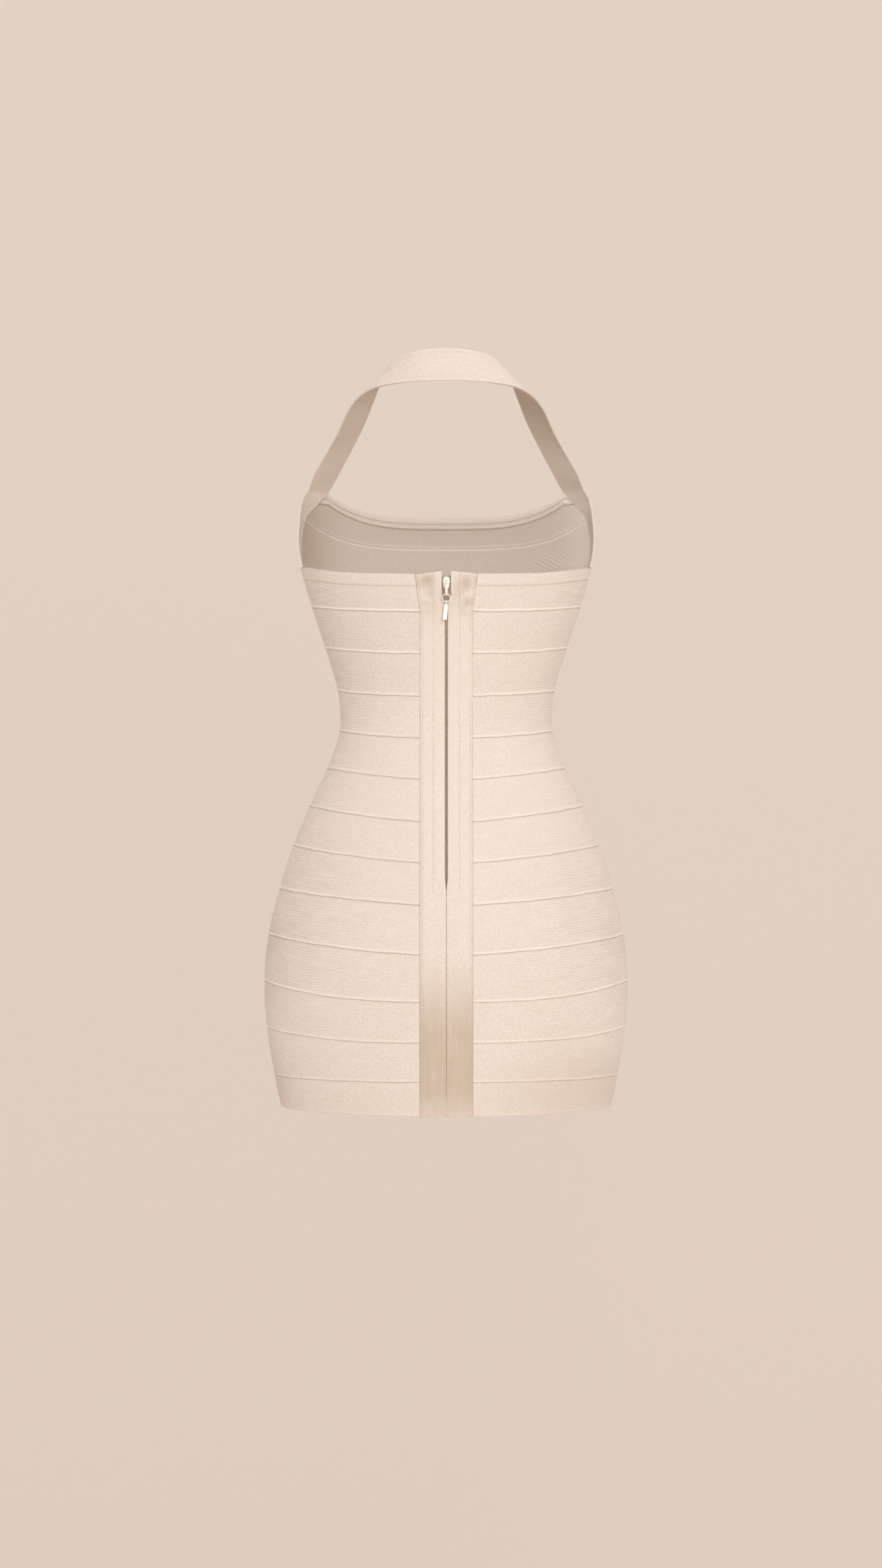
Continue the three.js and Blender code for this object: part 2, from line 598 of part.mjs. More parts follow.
function makeBar() {
  const eyeZ = PULL_AXIS_Z - 2 * RING_RADIUS;
  const eyeShape = new THREE.Shape();
  eyeShape.absarc(0, 0, BAR_EYE, 0, 2 * Math.PI, false);
  const hole = new THREE.Path();
  hole.absarc(0, 0, PIVOT_HOLE, 0, 2 * Math.PI, true);
  eyeShape.holes.push(hole);
  const eye = sidePlate(eyeShape, BAR_EYE_WIDTH);
  const half = BAR_WIDTH / 2;
  const top = -BAR_EYE + 0.4;
  const bottom = -BAR_LENGTH;
  const outline = new THREE.Shape();
  outline.moveTo(-BAR_EYE_WIDTH / 2, top);
  outline.lineTo(BAR_EYE_WIDTH / 2, top);
  outline.quadraticCurveTo(half, top - 0.6, half, top - 2.4);
  outline.lineTo(half, bottom + 1);
  outline.quadraticCurveTo(half, bottom, half - 1, bottom);
  outline.lineTo(-half + 1, bottom);
  outline.quadraticCurveTo(-half, bottom, -half, bottom + 1);
  outline.lineTo(-half, top - 2.4);
  outline.quadraticCurveTo(-half, top - 0.6, -BAR_EYE_WIDTH / 2, top);
  const extrusion = { depth: BAR_THICKNESS, bevelEnabled: false, curveSegments: 4 };
  const blade = new THREE.ExtrudeGeometry(outline, extrusion);
  blade.rotateX(Math.PI / 2);
  blade.translate(0, BAR_THICKNESS / 2, 0);
  const mesh = namedMesh('zip_pull_bar', fromSolid(toSolid(eye).add(toSolid(blade))), PAINTED_METAL);
  mesh.position.set(0, pullAxisY, eyeZ);
  return mesh;
}

const garment = new THREE.Group();
for (let index = 0; index < BAND_EDGES.length - 1; index += 1) garment.add(makeBand(index));
const topBand = (angle) => edgeHeight(BAND_EDGES[0], angle);
garment.add(makeFrontStrip('front_upper_1', NECK_PROFILE, necklineHeight, frontSeamHeight));
garment.add(makeFrontStrip('front_upper_2', BUST_PROFILE, frontSeamHeight, topBand));
garment.add(makeStrap());
garment.add(makePlacket('placket_left', -1), makePlacket('placket_right', 1));
garment.add(makeTape('zip_tape_left', -1), makeTape('zip_tape_right', 1));
garment.add(makeSlider(), makeRing(), makeBar());

const dress = new THREE.Group();
garment.position.set(0, -(NAPE_OUTER_Y + STRAP_THICKNESS), -NAPE_Z);
dress.add(garment);

export default dress;
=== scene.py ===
import math
from functools import partial

import bpy
import numpy as np
from mathutils import Matrix, Vector


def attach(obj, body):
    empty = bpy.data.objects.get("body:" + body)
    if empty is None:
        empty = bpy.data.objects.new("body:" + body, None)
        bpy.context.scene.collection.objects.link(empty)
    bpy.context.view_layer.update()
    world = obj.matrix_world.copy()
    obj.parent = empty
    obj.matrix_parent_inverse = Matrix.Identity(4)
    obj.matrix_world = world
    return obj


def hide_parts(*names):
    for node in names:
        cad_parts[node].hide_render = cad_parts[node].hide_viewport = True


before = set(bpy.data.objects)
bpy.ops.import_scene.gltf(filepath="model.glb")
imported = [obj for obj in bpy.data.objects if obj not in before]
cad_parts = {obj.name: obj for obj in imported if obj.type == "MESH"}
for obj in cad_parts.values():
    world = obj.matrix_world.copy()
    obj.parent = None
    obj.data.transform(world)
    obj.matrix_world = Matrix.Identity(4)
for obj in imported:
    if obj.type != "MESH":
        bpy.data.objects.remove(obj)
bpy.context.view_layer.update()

bl_info = {
    "name": "Bandage Knit Dress",
    "version": (1, 0, 0),
    "blender": (4, 5, 0),
    "location": "3D View > Sidebar > Dress",
    "description": "Builds the cloth, zip and stitching of a bandage knit mini dress on its frame",
    "category": "Object",
}

# Garment sizes are in millimetres: z is the height above the hem, and y is measured from the plane of
# the side seams
MM = 0.001
SIDE = math.pi / 2
NAPE_POINT = np.array([0.0, -59.2, 729.2])
SEAM_GAP = 0.3
SHOWN_GAP = 0.12
ARMHOLE_SHOWN_GAP = 0.2
TRIM_WALL = 1.8

# Hems, the ridge over a seam and the tuck under it
BACK_HEM_DEPTH = 11.5
NECK_HEM_DEPTH = 11.0
HEM_RIDGE_SHARE = 0.2
TUCK_DEPTH = 0.26
TUCK_LENGTH = 0.36

# Fine rows of a strip as mm from its edges, columns of the grids, and passes that fit a grid to its edges
TOP_ROWS = (0.35, 0.9, 1.7, 2.7)
BOTTOM_ROWS = (0.3, 0.7, 1.1, 1.5, 1.9, 2.4, 3.2, 4.2)
BAND_COLUMNS = 260
FRONT_COLUMNS = 190
STRAP_COLUMNS = 400
GRID_PASSES = 14

# Placket strips and their sewn lines
PLACKET_OUTER_X = 25.5
PLACKET_TOP_OUTER_X = 30.5
PLACKET_FLARE_FROM_Z = 487.5
PLACKET_TOP_Z = 524.0
PLACKET_BOTTOM_Z = -1.2
OUTER_STITCH_INSET = 2.3
INNER_STITCH_X = 12.7

# Depths of the sewn lines below an edge, and sizes of their stitches as length, width and height
HEM_STITCH_DEPTHS = (8.9, 10.5)
NECK_STITCH_DEPTHS = (4.6, 9.4)
NECK_STITCH_SPACING = 2.2
NECK_STITCH_LEAN = 0.5
PLACKET_STITCH = (1.5, 0.85, 0.5)
HEM_STITCH = (1.9, 0.6, 0.36)
NECK_STITCH = (2.4, 0.7, 0.4)

# Zip
CHAIN_HALF_GAP = 1.3
SLIDER_HALF_GAP = 4.3
SLIDER_GAP_FROM_Z = 492.0
SLIDER_GAP_FULL_Z = 503.0
CHAIN_BOTTOM_Z = 216.0
CHAIN_CLOSE_LENGTH = 14.0
TAPE_TOP_Z = 521.0
TAPE_BOTTOM_Z = 208.0
TAPE_INNER_X = 0.4
TAPE_WIDTH = 9.0
TAPE_FACE_OUT = -2.1
TAPE_BACK_OUT = -2.9
PULL_AXIS_Z = 502.8
PULL_AXIS_OUT = 3.9
EYE_RADIUS = 1.05
RIM_RADIUS = 1.75
RING_RADIUS = 3.8
RING_WIRE = 0.62
SLIDER_TOP_Z = 519.6
SLIDER_LENGTH = 11.5
SLIDER_WIDTH = 7.2
BAR_LENGTH = 17.5
BAR_WIDTH = 4.0
BAR_LEAN = math.radians(5)

# Stage, in metres
FLOOR_Z = -3.0
WALL_Y = 4.6
WALL_TOP_Z = 5.0
BEND_RADIUS = 0.6
STAGE_REACH = 9.0
KEY_FROM = (0.2, -0.95, 0.18)
CAMERA_PLACE = (-0.0051, -3.2408, -0.4092)
CAMERA_LENS = 76.3
CAMERA_SENSOR = 36.0

# The step between two courses of the trims' knit, in metres
TRIM_PITCH = 0.0021

NUMBER, VECTOR, COLOUR = "NodeSocketFloat", "NodeSocketVector", "NodeSocketColor"


def table(names, *rows):
    """Rows of numbers under named columns."""
    return [dict(zip(names.split(), row)) for row in rows]


SECTIONS = table(
    "z width back front back_power front_power",
    (-4, 162.6, 103.5, 91.5, 2.05, 2.05),
    (0, 163.5, 104, 92, 2.05, 2.05),
    (34.6, 170.5, 110, 95, 2.05, 2.05),
    (80.2, 177.7, 117, 98, 2.05, 2.05),
    (126.2, 179.9, 122, 100, 2.05, 2.05),
    (171.4, 175.8, 123, 101, 2.05, 2.05),
    (215.6, 165.3, 118, 101, 2.0, 2.05),
    (257.6, 152, 108, 99, 2.0, 2.05),
    (297.7, 135.5, 95, 96, 2.0, 2.05),
    (335.3, 118, 84, 92, 2.0, 2.05),
    (371.9, 105.6, 79, 88, 2.0, 2.05),
    (411.3, 107.2, 82, 87, 2.05, 2.1),
    (453.6, 119.3, 90, 92, 2.1, 2.2),
    (494.6, 132.7, 97, 104, 2.15, 2.4),
    (537.2, 144.8, 101, 116, 2.15, 2.6),
    (562, 148.4, 102, 119, 2.15, 2.7),
    (588, 148.6, 102, 114, 2.15, 2.8),
    (618, 150, 102, 103, 2.15, 2.8),
)

# Seams from the top edge of the back to the hem, by their heights at the side, centre back and centre
# front, and how far round the back a seam stays low before it bows up to the side
FRONT_BOW = 2
SEAM_WANDER = 0.35
BAND_EDGES = table(
    "side back front bow",
    (533.5, 522.8, 522, 3.6),
    (494.1, 486.2, 482, 3.4),
    (453.6, 446.1, 444, 3.4),
    (411.3, 404.9, 405, 2.8),
    (371.9, 364.4, 369, 2.4),
    (335.3, 323.6, 332, 1.6),
    (298, 282.8, 293, 1.6),
    (259, 243.6, 252, 1.6),
    (216.6, 203.4, 210, 1.6),
    (171.4, 156, 166, 1.7),
    (126.2, 110.9, 121, 3),
    (80.2, 71.2, 77, 3.4),
    (32.6, 32.9, 33, 2),
    (1.4, 0, 0, 2),
)
FRONT_SEAM = {"side": 592.0, "front": 562.0}
NECKLINE = {"corner": 615.2, "front": 592.7}
ARMHOLE_EDGE = table(
    "z y",
    (524, 10),
    (534, 16.5),
    (545, 23.5),
    (560, 33),
    (574, 41.5),
    (588.5, 52.2),
    (596, 62),
    (603, 70.5),
    (616, 78.6),
)
STRAP_ON_BODY = table(
    "inner outer outer_y",
    (615.5, 616.6, 55),
    (609, 611.8, 50),
    (602, 607, 44),
    (595, 601.4, 38.5),
    (588.5, 596, 33),
    (574, 581, 21),
    (560, 564, 8),
    (547, 548.8, -0.3),
    (534.2, 534.2, -8),
)
STRAP_FREE = table(
    "neck shoulder",
    ((0, -61, 744.7), (0, -61, 713.7)),
    ((24, -58.5, 743), (26, -58.5, 713.2)),
    ((42, -47, 739.5), (49.5, -48, 712.3)),
    ((55.5, -29, 732.5), (72.5, -31.5, 709.5)),
    ((64.5, -6, 721.5), (88, -13, 702.5)),
    ((72, 17, 706), (98.5, 5, 690.5)),
    ((82, 39, 684), (108.5, 24, 672)),
    ((94.3, 57, 661.5), (121, 41, 652.5)),
    ((108, 69.5, 637.5), (132.5, 50, 634)),
)

# Soft creases: degrees round from the centre back, height, half length in degrees, half
# width in mm, depth in mm (a ridge is positive) and how much it climbs in mm over its half length
CREASES = table(
    "turn z reach width rise climb",
    (-66, 511, 8, 1.5, 0.45, 1.5),
    (-61, 507, 10, 1.6, -0.5, 2.0),
    (-70, 504, 7, 1.4, 0.35, 1.0),
    (-58, 516, 6, 1.3, -0.3, 0.6),
    (64, 512, 8, 1.5, -0.4, -1.4),
    (70, 506, 9, 1.6, 0.4, -1.8),
    (57, 508, 6, 1.3, 0.25, -0.8),
    (-74, 462, 9, 2.2, -0.35, 1.0),
    (76, 458, 8, 2.0, -0.3, -1.2),
    (-80, 421, 12, 2.4, -0.4, 0.6),
    (-72, 392, 14, 2.6, 0.35, 1.2),
    (-84, 383, 12, 2.2, -0.4, 0.4),
    (79, 417, 12, 2.2, -0.35, -0.8),
    (73, 388, 13, 2.5, 0.35, -1.4),
    (-66, 350, 15, 2.8, -0.3, 2.6),
    (68, 346, 16, 3.0, -0.3, -2.4),
    (-60, 306, 17, 3.0, 0.25, 3.0),
    (61, 312, 14, 2.6, 0.25, -2.8),
    (-58, 233, 15, 2.6, -0.25, 2.6),
    (-49, 186, 20, 3.0, -0.25, 3.2),
    (56, 192, 18, 3.0, -0.22, -3.0),
    (-63, 149, 16, 2.8, 0.22, 2.4),
    (60, 143, 15, 2.6, 0.22, -2.6),
    (-70, 98, 13, 2.4, -0.25, 1.8),
    (69, 102, 12, 2.4, -0.25, -1.6),
    (-40, 55, 18, 3.2, -0.2, 1.0),
    (44, 50, 16, 3.0, -0.2, -1.0),
    (118, 520, 10, 2.4, -0.4, 2.0),
    (-121, 523, 11, 2.6, -0.4, -2.2),
    (126, 498, 9, 2.0, 0.3, 1.6),
    (-130, 501, 9, 2.0, 0.3, -1.8),
    (112, 560, 8, 2.2, -0.35, 3.0),
    (-110, 557, 8, 2.2, -0.35, -3.2),
    (104, 398, 15, 2.6, -0.4, 1.0),
    (-107, 402, 14, 2.4, -0.4, -1.2),
    (118, 372, 16, 2.6, 0.3, 1.6),
    (-116, 376, 15, 2.8, 0.3, -1.4),
    (128, 336, 18, 3.0, -0.28, 2.0),
    (-131, 331, 17, 3.0, -0.28, -2.2),
    (140, 214, 18, 3.2, -0.25, 1.6),
    (-137, 219, 20, 3.2, -0.25, -1.8),
    (124, 139, 18, 3.0, -0.24, 2.2),
    (-127, 133, 17, 3.0, -0.24, -2.0),
    (150, 84, 16, 3.0, 0.2, 1.0),
    (-148, 90, 18, 3.2, 0.2, -1.2),
)

# Puckers of the two placket strips: x, height, half width, half height and depth, in mm
PUCKERS = table(
    "x z wide high rise",
    (-18.5, 513.5, 6.5, 6, -1.2),
    (-27, 517, 2.6, 4.0, 0.5),
    (-12, 508, 3.2, 9.0, 0.35),
    (-18, 500, 5.0, 3.0, -0.45),
    (-17, 490, 5.5, 2.4, 0.35),
    (19, 515, 6.5, 6, -1.2),
    (27, 510, 2.6, 4.5, 0.45),
    (11, 507, 3.0, 9.0, 0.35),
    (18, 495, 5.5, 3.0, -0.5),
    (20, 486, 5.0, 2.6, 0.35),
)


def linear(red, green, blue):
    """A colour given as 0 to 255 values of a screen, as scene linear values."""
    def channel(value):
        share = value / 255
        return share / 12.92 if share <= 0.04045 else ((share + 0.055) / 1.055) ** 2.4

    return (channel(red), channel(green), channel(blue))


def table_value(rows, name, z):
    """Smooth value of a table's column at heights z, with slopes from the neighbouring rows."""
    heights = np.array([row["z"] for row in rows], dtype=float)
    values = np.array([row[name] for row in rows], dtype=float)
    slopes = np.gradient(values, heights)
    slopes[1:-1] = (values[2:] - values[:-2]) / (heights[2:] - heights[:-2])
    at = np.clip(z, heights[0], heights[-1])
    row = np.clip(np.searchsorted(heights, at, side="left") - 1, 0, len(heights) - 2)
    span = heights[row + 1] - heights[row]
    t = (at - heights[row]) / span
    rise = t * t * (3 - 2 * t)
    leave = t * (1 - t) ** 2 * span
    arrive = t * t * (t - 1) * span
    base = values[row] * (1 - rise) + values[row + 1] * rise
    return base + leave * slopes[row] + arrive * slopes[row + 1]


def smoothstep(value, low, high):
    t = np.clip((value - low) / (high - low), 0, 1)
    return t * t * (3 - 2 * t)


def bell(distance, width):
    return np.exp(-(np.asarray(distance) / width) ** 2)


def lattice_noise(u, v, seed):
    """Smooth uneven values from -1 to 1 over u and v, one lattice cell for each whole number."""
    grid = np.random.RandomState(seed).uniform(-1, 1, (64, 64))
    low_u, low_v = np.floor(u).astype(int), np.floor(v).astype(int)
    part_u, part_v = u - low_u, v - low_v
    ease_u, ease_v = part_u ** 2 * (3 - 2 * part_u), part_v ** 2 * (3 - 2 * part_v)

    def at(step_u, step_v):
        return grid[(low_u + step_u) % 64, (low_v + step_v) % 64]

    near = at(0, 0) * (1 - ease_u) + at(1, 0) * ease_u
    far = at(0, 1) * (1 - ease_u) + at(1, 1) * ease_u
    return near * (1 - ease_v) + far * ease_v


def in_frame(points):
    """Garment points in millimetres as points of the frame in metres."""
    return (np.asarray(points, dtype=float) - NAPE_POINT) * MM


def section(column, z):
    """Half width, depth or power of the body's outline at heights z."""
    return table_value(SECTIONS, column, z)


def side_power(angle, z):
    """Whether an angle is on the back, and the power of the curve there."""
    back = np.cos(angle) > 0
    return back, np.where(back, section("back_power", z), section("front_power", z))


def face_point(angle, z):
    """Point of the cloth's outer face. The angle is 0 at the centre back and pi / 2 at the side at +X."""
    angle, z = np.broadcast_arrays(np.asarray(angle, dtype=float), np.asarray(z, dtype=float))
    back, power = side_power(angle, z)
    depth = np.where(back, -section("back", z), section("front", z))
    x = np.sign(np.sin(angle)) * np.abs(np.sin(angle)) ** (2 / power) * section("width", z)
    return np.stack([x, np.abs(np.cos(angle)) ** (2 / power) * depth, z], axis=-1)


def face_normal(angle, z):
    """Outward direction of the cloth's face."""
    step = 0.02
    around = face_point(angle + step, z) - face_point(angle - step, z)
    upward = face_point(angle, z + 1.0) - face_point(angle, z - 1.0)
    normal = np.cross(around, upward)
    return normal / np.linalg.norm(normal, axis=-1, keepdims=True)


def raised_point(angle, z, out):
    """Point at a height in mm over the cloth's face."""
    return face_point(angle, z) + face_normal(angle, z) * np.asarray(out)[..., None]


def angle_at_x(x, z):
    """Angle at which the back of the cloth reaches x."""
    share = np.minimum(x / section("width", z), 1)
    return np.arcsin(share ** (section("back_power", z) / 2))


def angle_at_y(y, z):
    """Angle at which the +X side of the cloth reaches y."""
    side = "back" if y < 0 else "front"
    from_side = np.arcsin((abs(y) / section(side, z)) ** (section(f"{side}_power", z) / 2))
    return SIDE + (-from_side if y < 0 else from_side)


def armhole_angle(z):
    share = table_value(ARMHOLE_EDGE, "y", z) / section("front", z)
    return SIDE + np.arcsin(share ** (section("front_power", z) / 2))


def armhole_gap_angle(z):
    """Angle of the shown gap beside the strap, measured square to the armhole edge."""
    step = 0.01
    angle = armhole_angle(z)
    upward = face_point(armhole_angle(z + 1), z + 1) - face_point(armhole_angle(z - 1), z - 1)
    upward /= np.linalg.norm(upward, axis=-1, keepdims=True)
    around = (face_point(angle + step, z) - face_point(angle, z)) / step
    return ARMHOLE_SHOWN_GAP / np.linalg.norm(np.cross(around, upward), axis=-1)


def edge_height(edge, angle):
    """Height of a seam between two bands."""
    on_back = np.cos(angle) > 0
    centre = np.where(on_back, edge["back"], edge["front"])
    wander = SEAM_WANDER * lattice_noise(np.cos(angle) * 9 + 20, np.sin(angle) * 9 + edge["side"], 5)
    bow = np.abs(np.sin(angle)) ** np.where(on_back, edge["bow"], FRONT_BOW)
    return centre + (edge["side"] - centre) * bow + wander


def front_seam_height(angle):
    return FRONT_SEAM["front"] + (FRONT_SEAM["side"] - FRONT_SEAM["front"]) * np.abs(np.sin(angle)) ** 3


def neckline_height(angle):
    corner = abs(math.sin(armhole_angle(NECKLINE["corner"])))
    share = np.minimum(np.abs(np.sin(angle)) / corner, 1)
    return NECKLINE["front"] + (NECKLINE["corner"] - NECKLINE["front"]) * share ** 2.6


def placket_outer_x(z):
    flare = np.maximum((z - PLACKET_FLARE_FROM_Z) / (PLACKET_TOP_Z - PLACKET_FLARE_FROM_Z), 0)
    return PLACKET_OUTER_X + (PLACKET_TOP_OUTER_X - PLACKET_OUTER_X) * flare


def placket_inner_x(z):
    """Half the gap between the two strips, which opens over the chain and again at the slider."""
    above_end = smoothstep(z, CHAIN_BOTTOM_Z, CHAIN_BOTTOM_Z + CHAIN_CLOSE_LENGTH)
    chain = SEAM_GAP / 2 + (CHAIN_HALF_GAP - SEAM_GAP / 2) * above_end
    at_slider = smoothstep(z, SLIDER_GAP_FROM_Z, SLIDER_GAP_FULL_Z)
    return chain + (SLIDER_HALF_GAP - chain) * at_slider


def turn_degrees(angle):
    """Degrees round from the centre back, -180 to 180."""
    return np.degrees((angle + math.pi) % (2 * math.pi) - math.pi)


def crease_relief(angle, z):
    """Height of the hand-placed creases in mm."""
    turn = turn_degrees(angle)
    relief = np.zeros(np.broadcast(angle, z).shape)
    for crease in CREASES:
        along = (turn - crease["turn"]) / crease["reach"]
        line = crease["z"] + crease["climb"] * along
        relief += crease["rise"] * np.exp(-along ** 2) * bell(z - line, crease["width"])
    return relief


def rib_share(angle, z):
    """How strongly the knit's courses stand out: most at the sides of the hip and waist."""
    turn = np.abs(turn_degrees(angle))
    from_centre = np.minimum(turn, 180 - turn)
    hip = bell(from_centre - 58, 30) * bell(z - 195, 105)
    waist = bell(from_centre - 66, 26) * bell(z - 395, 60)
    bust = bell(from_centre - 62, 24) * bell(z - 520, 45)
    return 0.22 + 0.95 * np.clip(hip + 0.6 * waist + 0.45 * bust, 0, 1)


def row_steps(spacing, typical_height, top_fine=(), bottom_fine=()):
    """Rows down a strip as (share of the way down, mm above that), finer near the two edges."""
    rows = [(0.0, 0.0)] + [(0.0, -depth) for depth in top_fine]
    count = max(int(typical_height / spacing), 3)
    top = (max(top_fine) if top_fine else 0) / typical_height
    bottom = 1 - (max(bottom_fine) if bottom_fine else 0) / typical_height
    rows += [(top + (bottom - top) * step / count, 0.0) for step in range(1, count)]
    rows += [(1.0, height) for height in sorted(bottom_fine, reverse=True)] + [(1.0, 0.0)]
    return rows


def path_length(points):
    """Length along a line of points, from its first one."""
    return np.concatenate([[0], np.cumsum(np.linalg.norm(np.diff(points, axis=0), axis=1))])


def even_shares(first, last, z, count):
    """Shares from 0 to 1 that divide the way round at one height into equal lengths."""
    shares = np.linspace(0, 1, 721)
    length = path_length(face_point(first + (last - first) * shares, z))
    return np.interp(np.linspace(0, length[-1], count), length, shares)


def strip_grid(rows, upper, lower, span, shares):
    """Angles and heights of a strip's rows and columns."""
    down, up = (np.array([row[part] for row in rows])[:, None] for part in (0, 1))
    z = np.repeat(upper(SIDE) + (lower(SIDE) - upper(SIDE)) * down + up, len(shares), axis=1)
    for _ in range(GRID_PASSES):
        first, last = span(z)
        angle = first + (last - first) * shares[None, :]
        top, bottom = upper(angle) - SHOWN_GAP / 2, lower(angle) + SHOWN_GAP / 2
        z = top + (bottom - top) * down + up
    return angle, z


def shell_object(name, outer_grid, inner_grid):
    """Closed thin shell from an outer and an inner grid with the same columns.

    A grid is its points, their places on the cloth and its named numbers, kept as attributes for the
    materials. Faces of the outer grid have the first material and all others the second."""
    rows_out, columns = outer_grid[0].shape[:2]
    loop, loop_uv = (np.concatenate([outer_grid[part], inner_grid[part][::-1]]) for part in (0, 1))
    count = loop.shape[0]
    points = in_frame(loop.transpose(1, 0, 2).reshape(-1, 3))
    column = np.arange(columns - 1)[:, None] * count
    step = np.arange(count)[None, :]
    after = (step + 1) % count
    quads = np.stack([column + step, column + after, column + count + after, column + count + step], axis=-1)
    quads = quads.reshape(-1, 4)
    volume = 0
    for second, third in ((1, 2), (2, 3)):
        normals = np.cross(points[quads[:, second]], points[quads[:, third]])
        volume += np.einsum("ij,ij->i", points[quads[:, 0]], normals).sum()
    last = (columns - 1) * count
    faces = quads.tolist() + [list(range(count))[::-1], list(range(last, last + count))]
    if volume < 0:
        faces = [face[::-1] for face in faces]
    mesh = bpy.data.meshes.new(name)
    mesh.from_pydata(points.tolist(), [], faces)
    kinds = np.where(np.tile(step[0] < rows_out - 1, columns - 1), 0, 1)
    mesh.polygons.foreach_set("material_index", np.concatenate([kinds, [1, 1]]).astype(np.int32))
    corners = np.empty(len(mesh.loops), dtype=np.int32)
    mesh.loops.foreach_get("vertex_index", corners)
    flat_uv = loop_uv.transpose(1, 0, 2).reshape(-1, 2) * MM
    mesh.uv_layers.new(name="cloth").data.foreach_set("uv", flat_uv[corners].astype(np.float32).ravel())
    for label, numbers in outer_grid[2].items():
        numbers = np.concatenate([numbers, inner_grid[2][label][::-1]])
        attribute = mesh.attributes.new(label, "FLOAT", "POINT")
        attribute.data.foreach_set("value", numbers.T.astype(np.float32).ravel())
    return finished_object(name, mesh, 55)


def finished_object(name, mesh, sharp_degrees):
    mesh.validate()
    mesh.shade_smooth()
    mesh.set_sharp_from_angle(angle=math.radians(sharp_degrees))
    piece = bpy.data.objects.new(name, mesh)
    bpy.context.scene.collection.objects.link(piece)
    return piece


def dress_piece(piece, slot, nodes, *looks, body="dress"):
    """Gives a piece its materials, the body it rides on, its slot and the nodes it stands for."""
    for look in looks:
        piece.data.materials.append(finish(look))
    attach(piece, body)
    if nodes:
        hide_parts(*nodes)


class Tree:
    """Short calls for adding and linking the nodes of one node tree."""

    def __init__(self, tree):
        self.tree = tree

    def add(self, kind, **settings):
        node = self.tree.nodes.new(kind)
        for name, value in settings.items():
            setattr(node, name, value)
        return node

    def join(self, source, target):
        self.tree.links.new(source, target)

    def feed(self, socket, value):
        if isinstance(value, bpy.types.NodeSocket):
            self.join(value, socket)
        else:
            socket.default_value = value

    def fill(self, node, **values):
        """Feeds a node's sockets by their names, with an underscore for each space."""
        for name, value in values.items():
            self.feed(node.inputs[name.replace("_", " ")], value)

    def math(self, operation, *values, clamp=False):
        node = self.add("ShaderNodeMath", operation=operation, use_clamp=clamp)
        for socket, value in zip(node.inputs, values):
            self.feed(socket, value)
        return node.outputs[0]

    def noise(self, vector, scale, detail=2.0, roughness=0.5):
        node = self.add("ShaderNodeTexNoise")
        self.fill(node, Vector=vector, Scale=scale, Detail=detail, Roughness=roughness)
        return node.outputs["Fac"]

    def stretch(self, vector, scale):
        node = self.add("ShaderNodeVectorMath", operation="MULTIPLY")
        self.feed(node.inputs[0], vector)
        self.feed(node.inputs[1], scale)
        return node.outputs[0]

    def mix(self, share, first, second):
        node = self.add("ShaderNodeMix", data_type="RGBA")
        for socket, value in ((0, share), (6, first), (7, second)):
            self.feed(node.inputs[socket], value)
        return node.outputs[2]

    def between(self, value, low, high, to_low, to_high):
        node = self.add("ShaderNodeMapRange")
        self.fill(node, Value=value, From_Min=low, From_Max=high, To_Min=to_low, To_Max=to_high)
        return node.outputs["Result"]

    def attribute(self, label):
        return self.add("ShaderNodeAttribute", attribute_name=label).outputs["Fac"]

    def place(self):
        return self.add("ShaderNodeTexCoord").outputs["Object"]

    def effect(self, name, build):
        """A node of a shared group, which is built when it is first asked for."""
        return self.add("ShaderNodeGroup", node_tree=bpy.data.node_groups.get(name) or build())

    def bump(self, shader, height, metres):
        node = self.add("ShaderNodeBump")
        self.fill(node, Height=height, Distance=metres)
        self.join(node.outputs["Normal"], shader.inputs["Normal"])


def new_group(name, inputs, outputs):
    group = bpy.data.node_groups.new(name, "ShaderNodeTree")
    for label, kind, default in inputs:
        socket = group.interface.new_socket(name=label, in_out="INPUT", socket_type=kind)
        if default is not None:
            socket.default_value = default
    for label, kind in outputs:
        group.interface.new_socket(name=label, in_out="OUTPUT", socket_type=kind)
    nodes = Tree(group)
    return group, nodes, nodes.add("NodeGroupInput").outputs, nodes.add("NodeGroupOutput").inputs


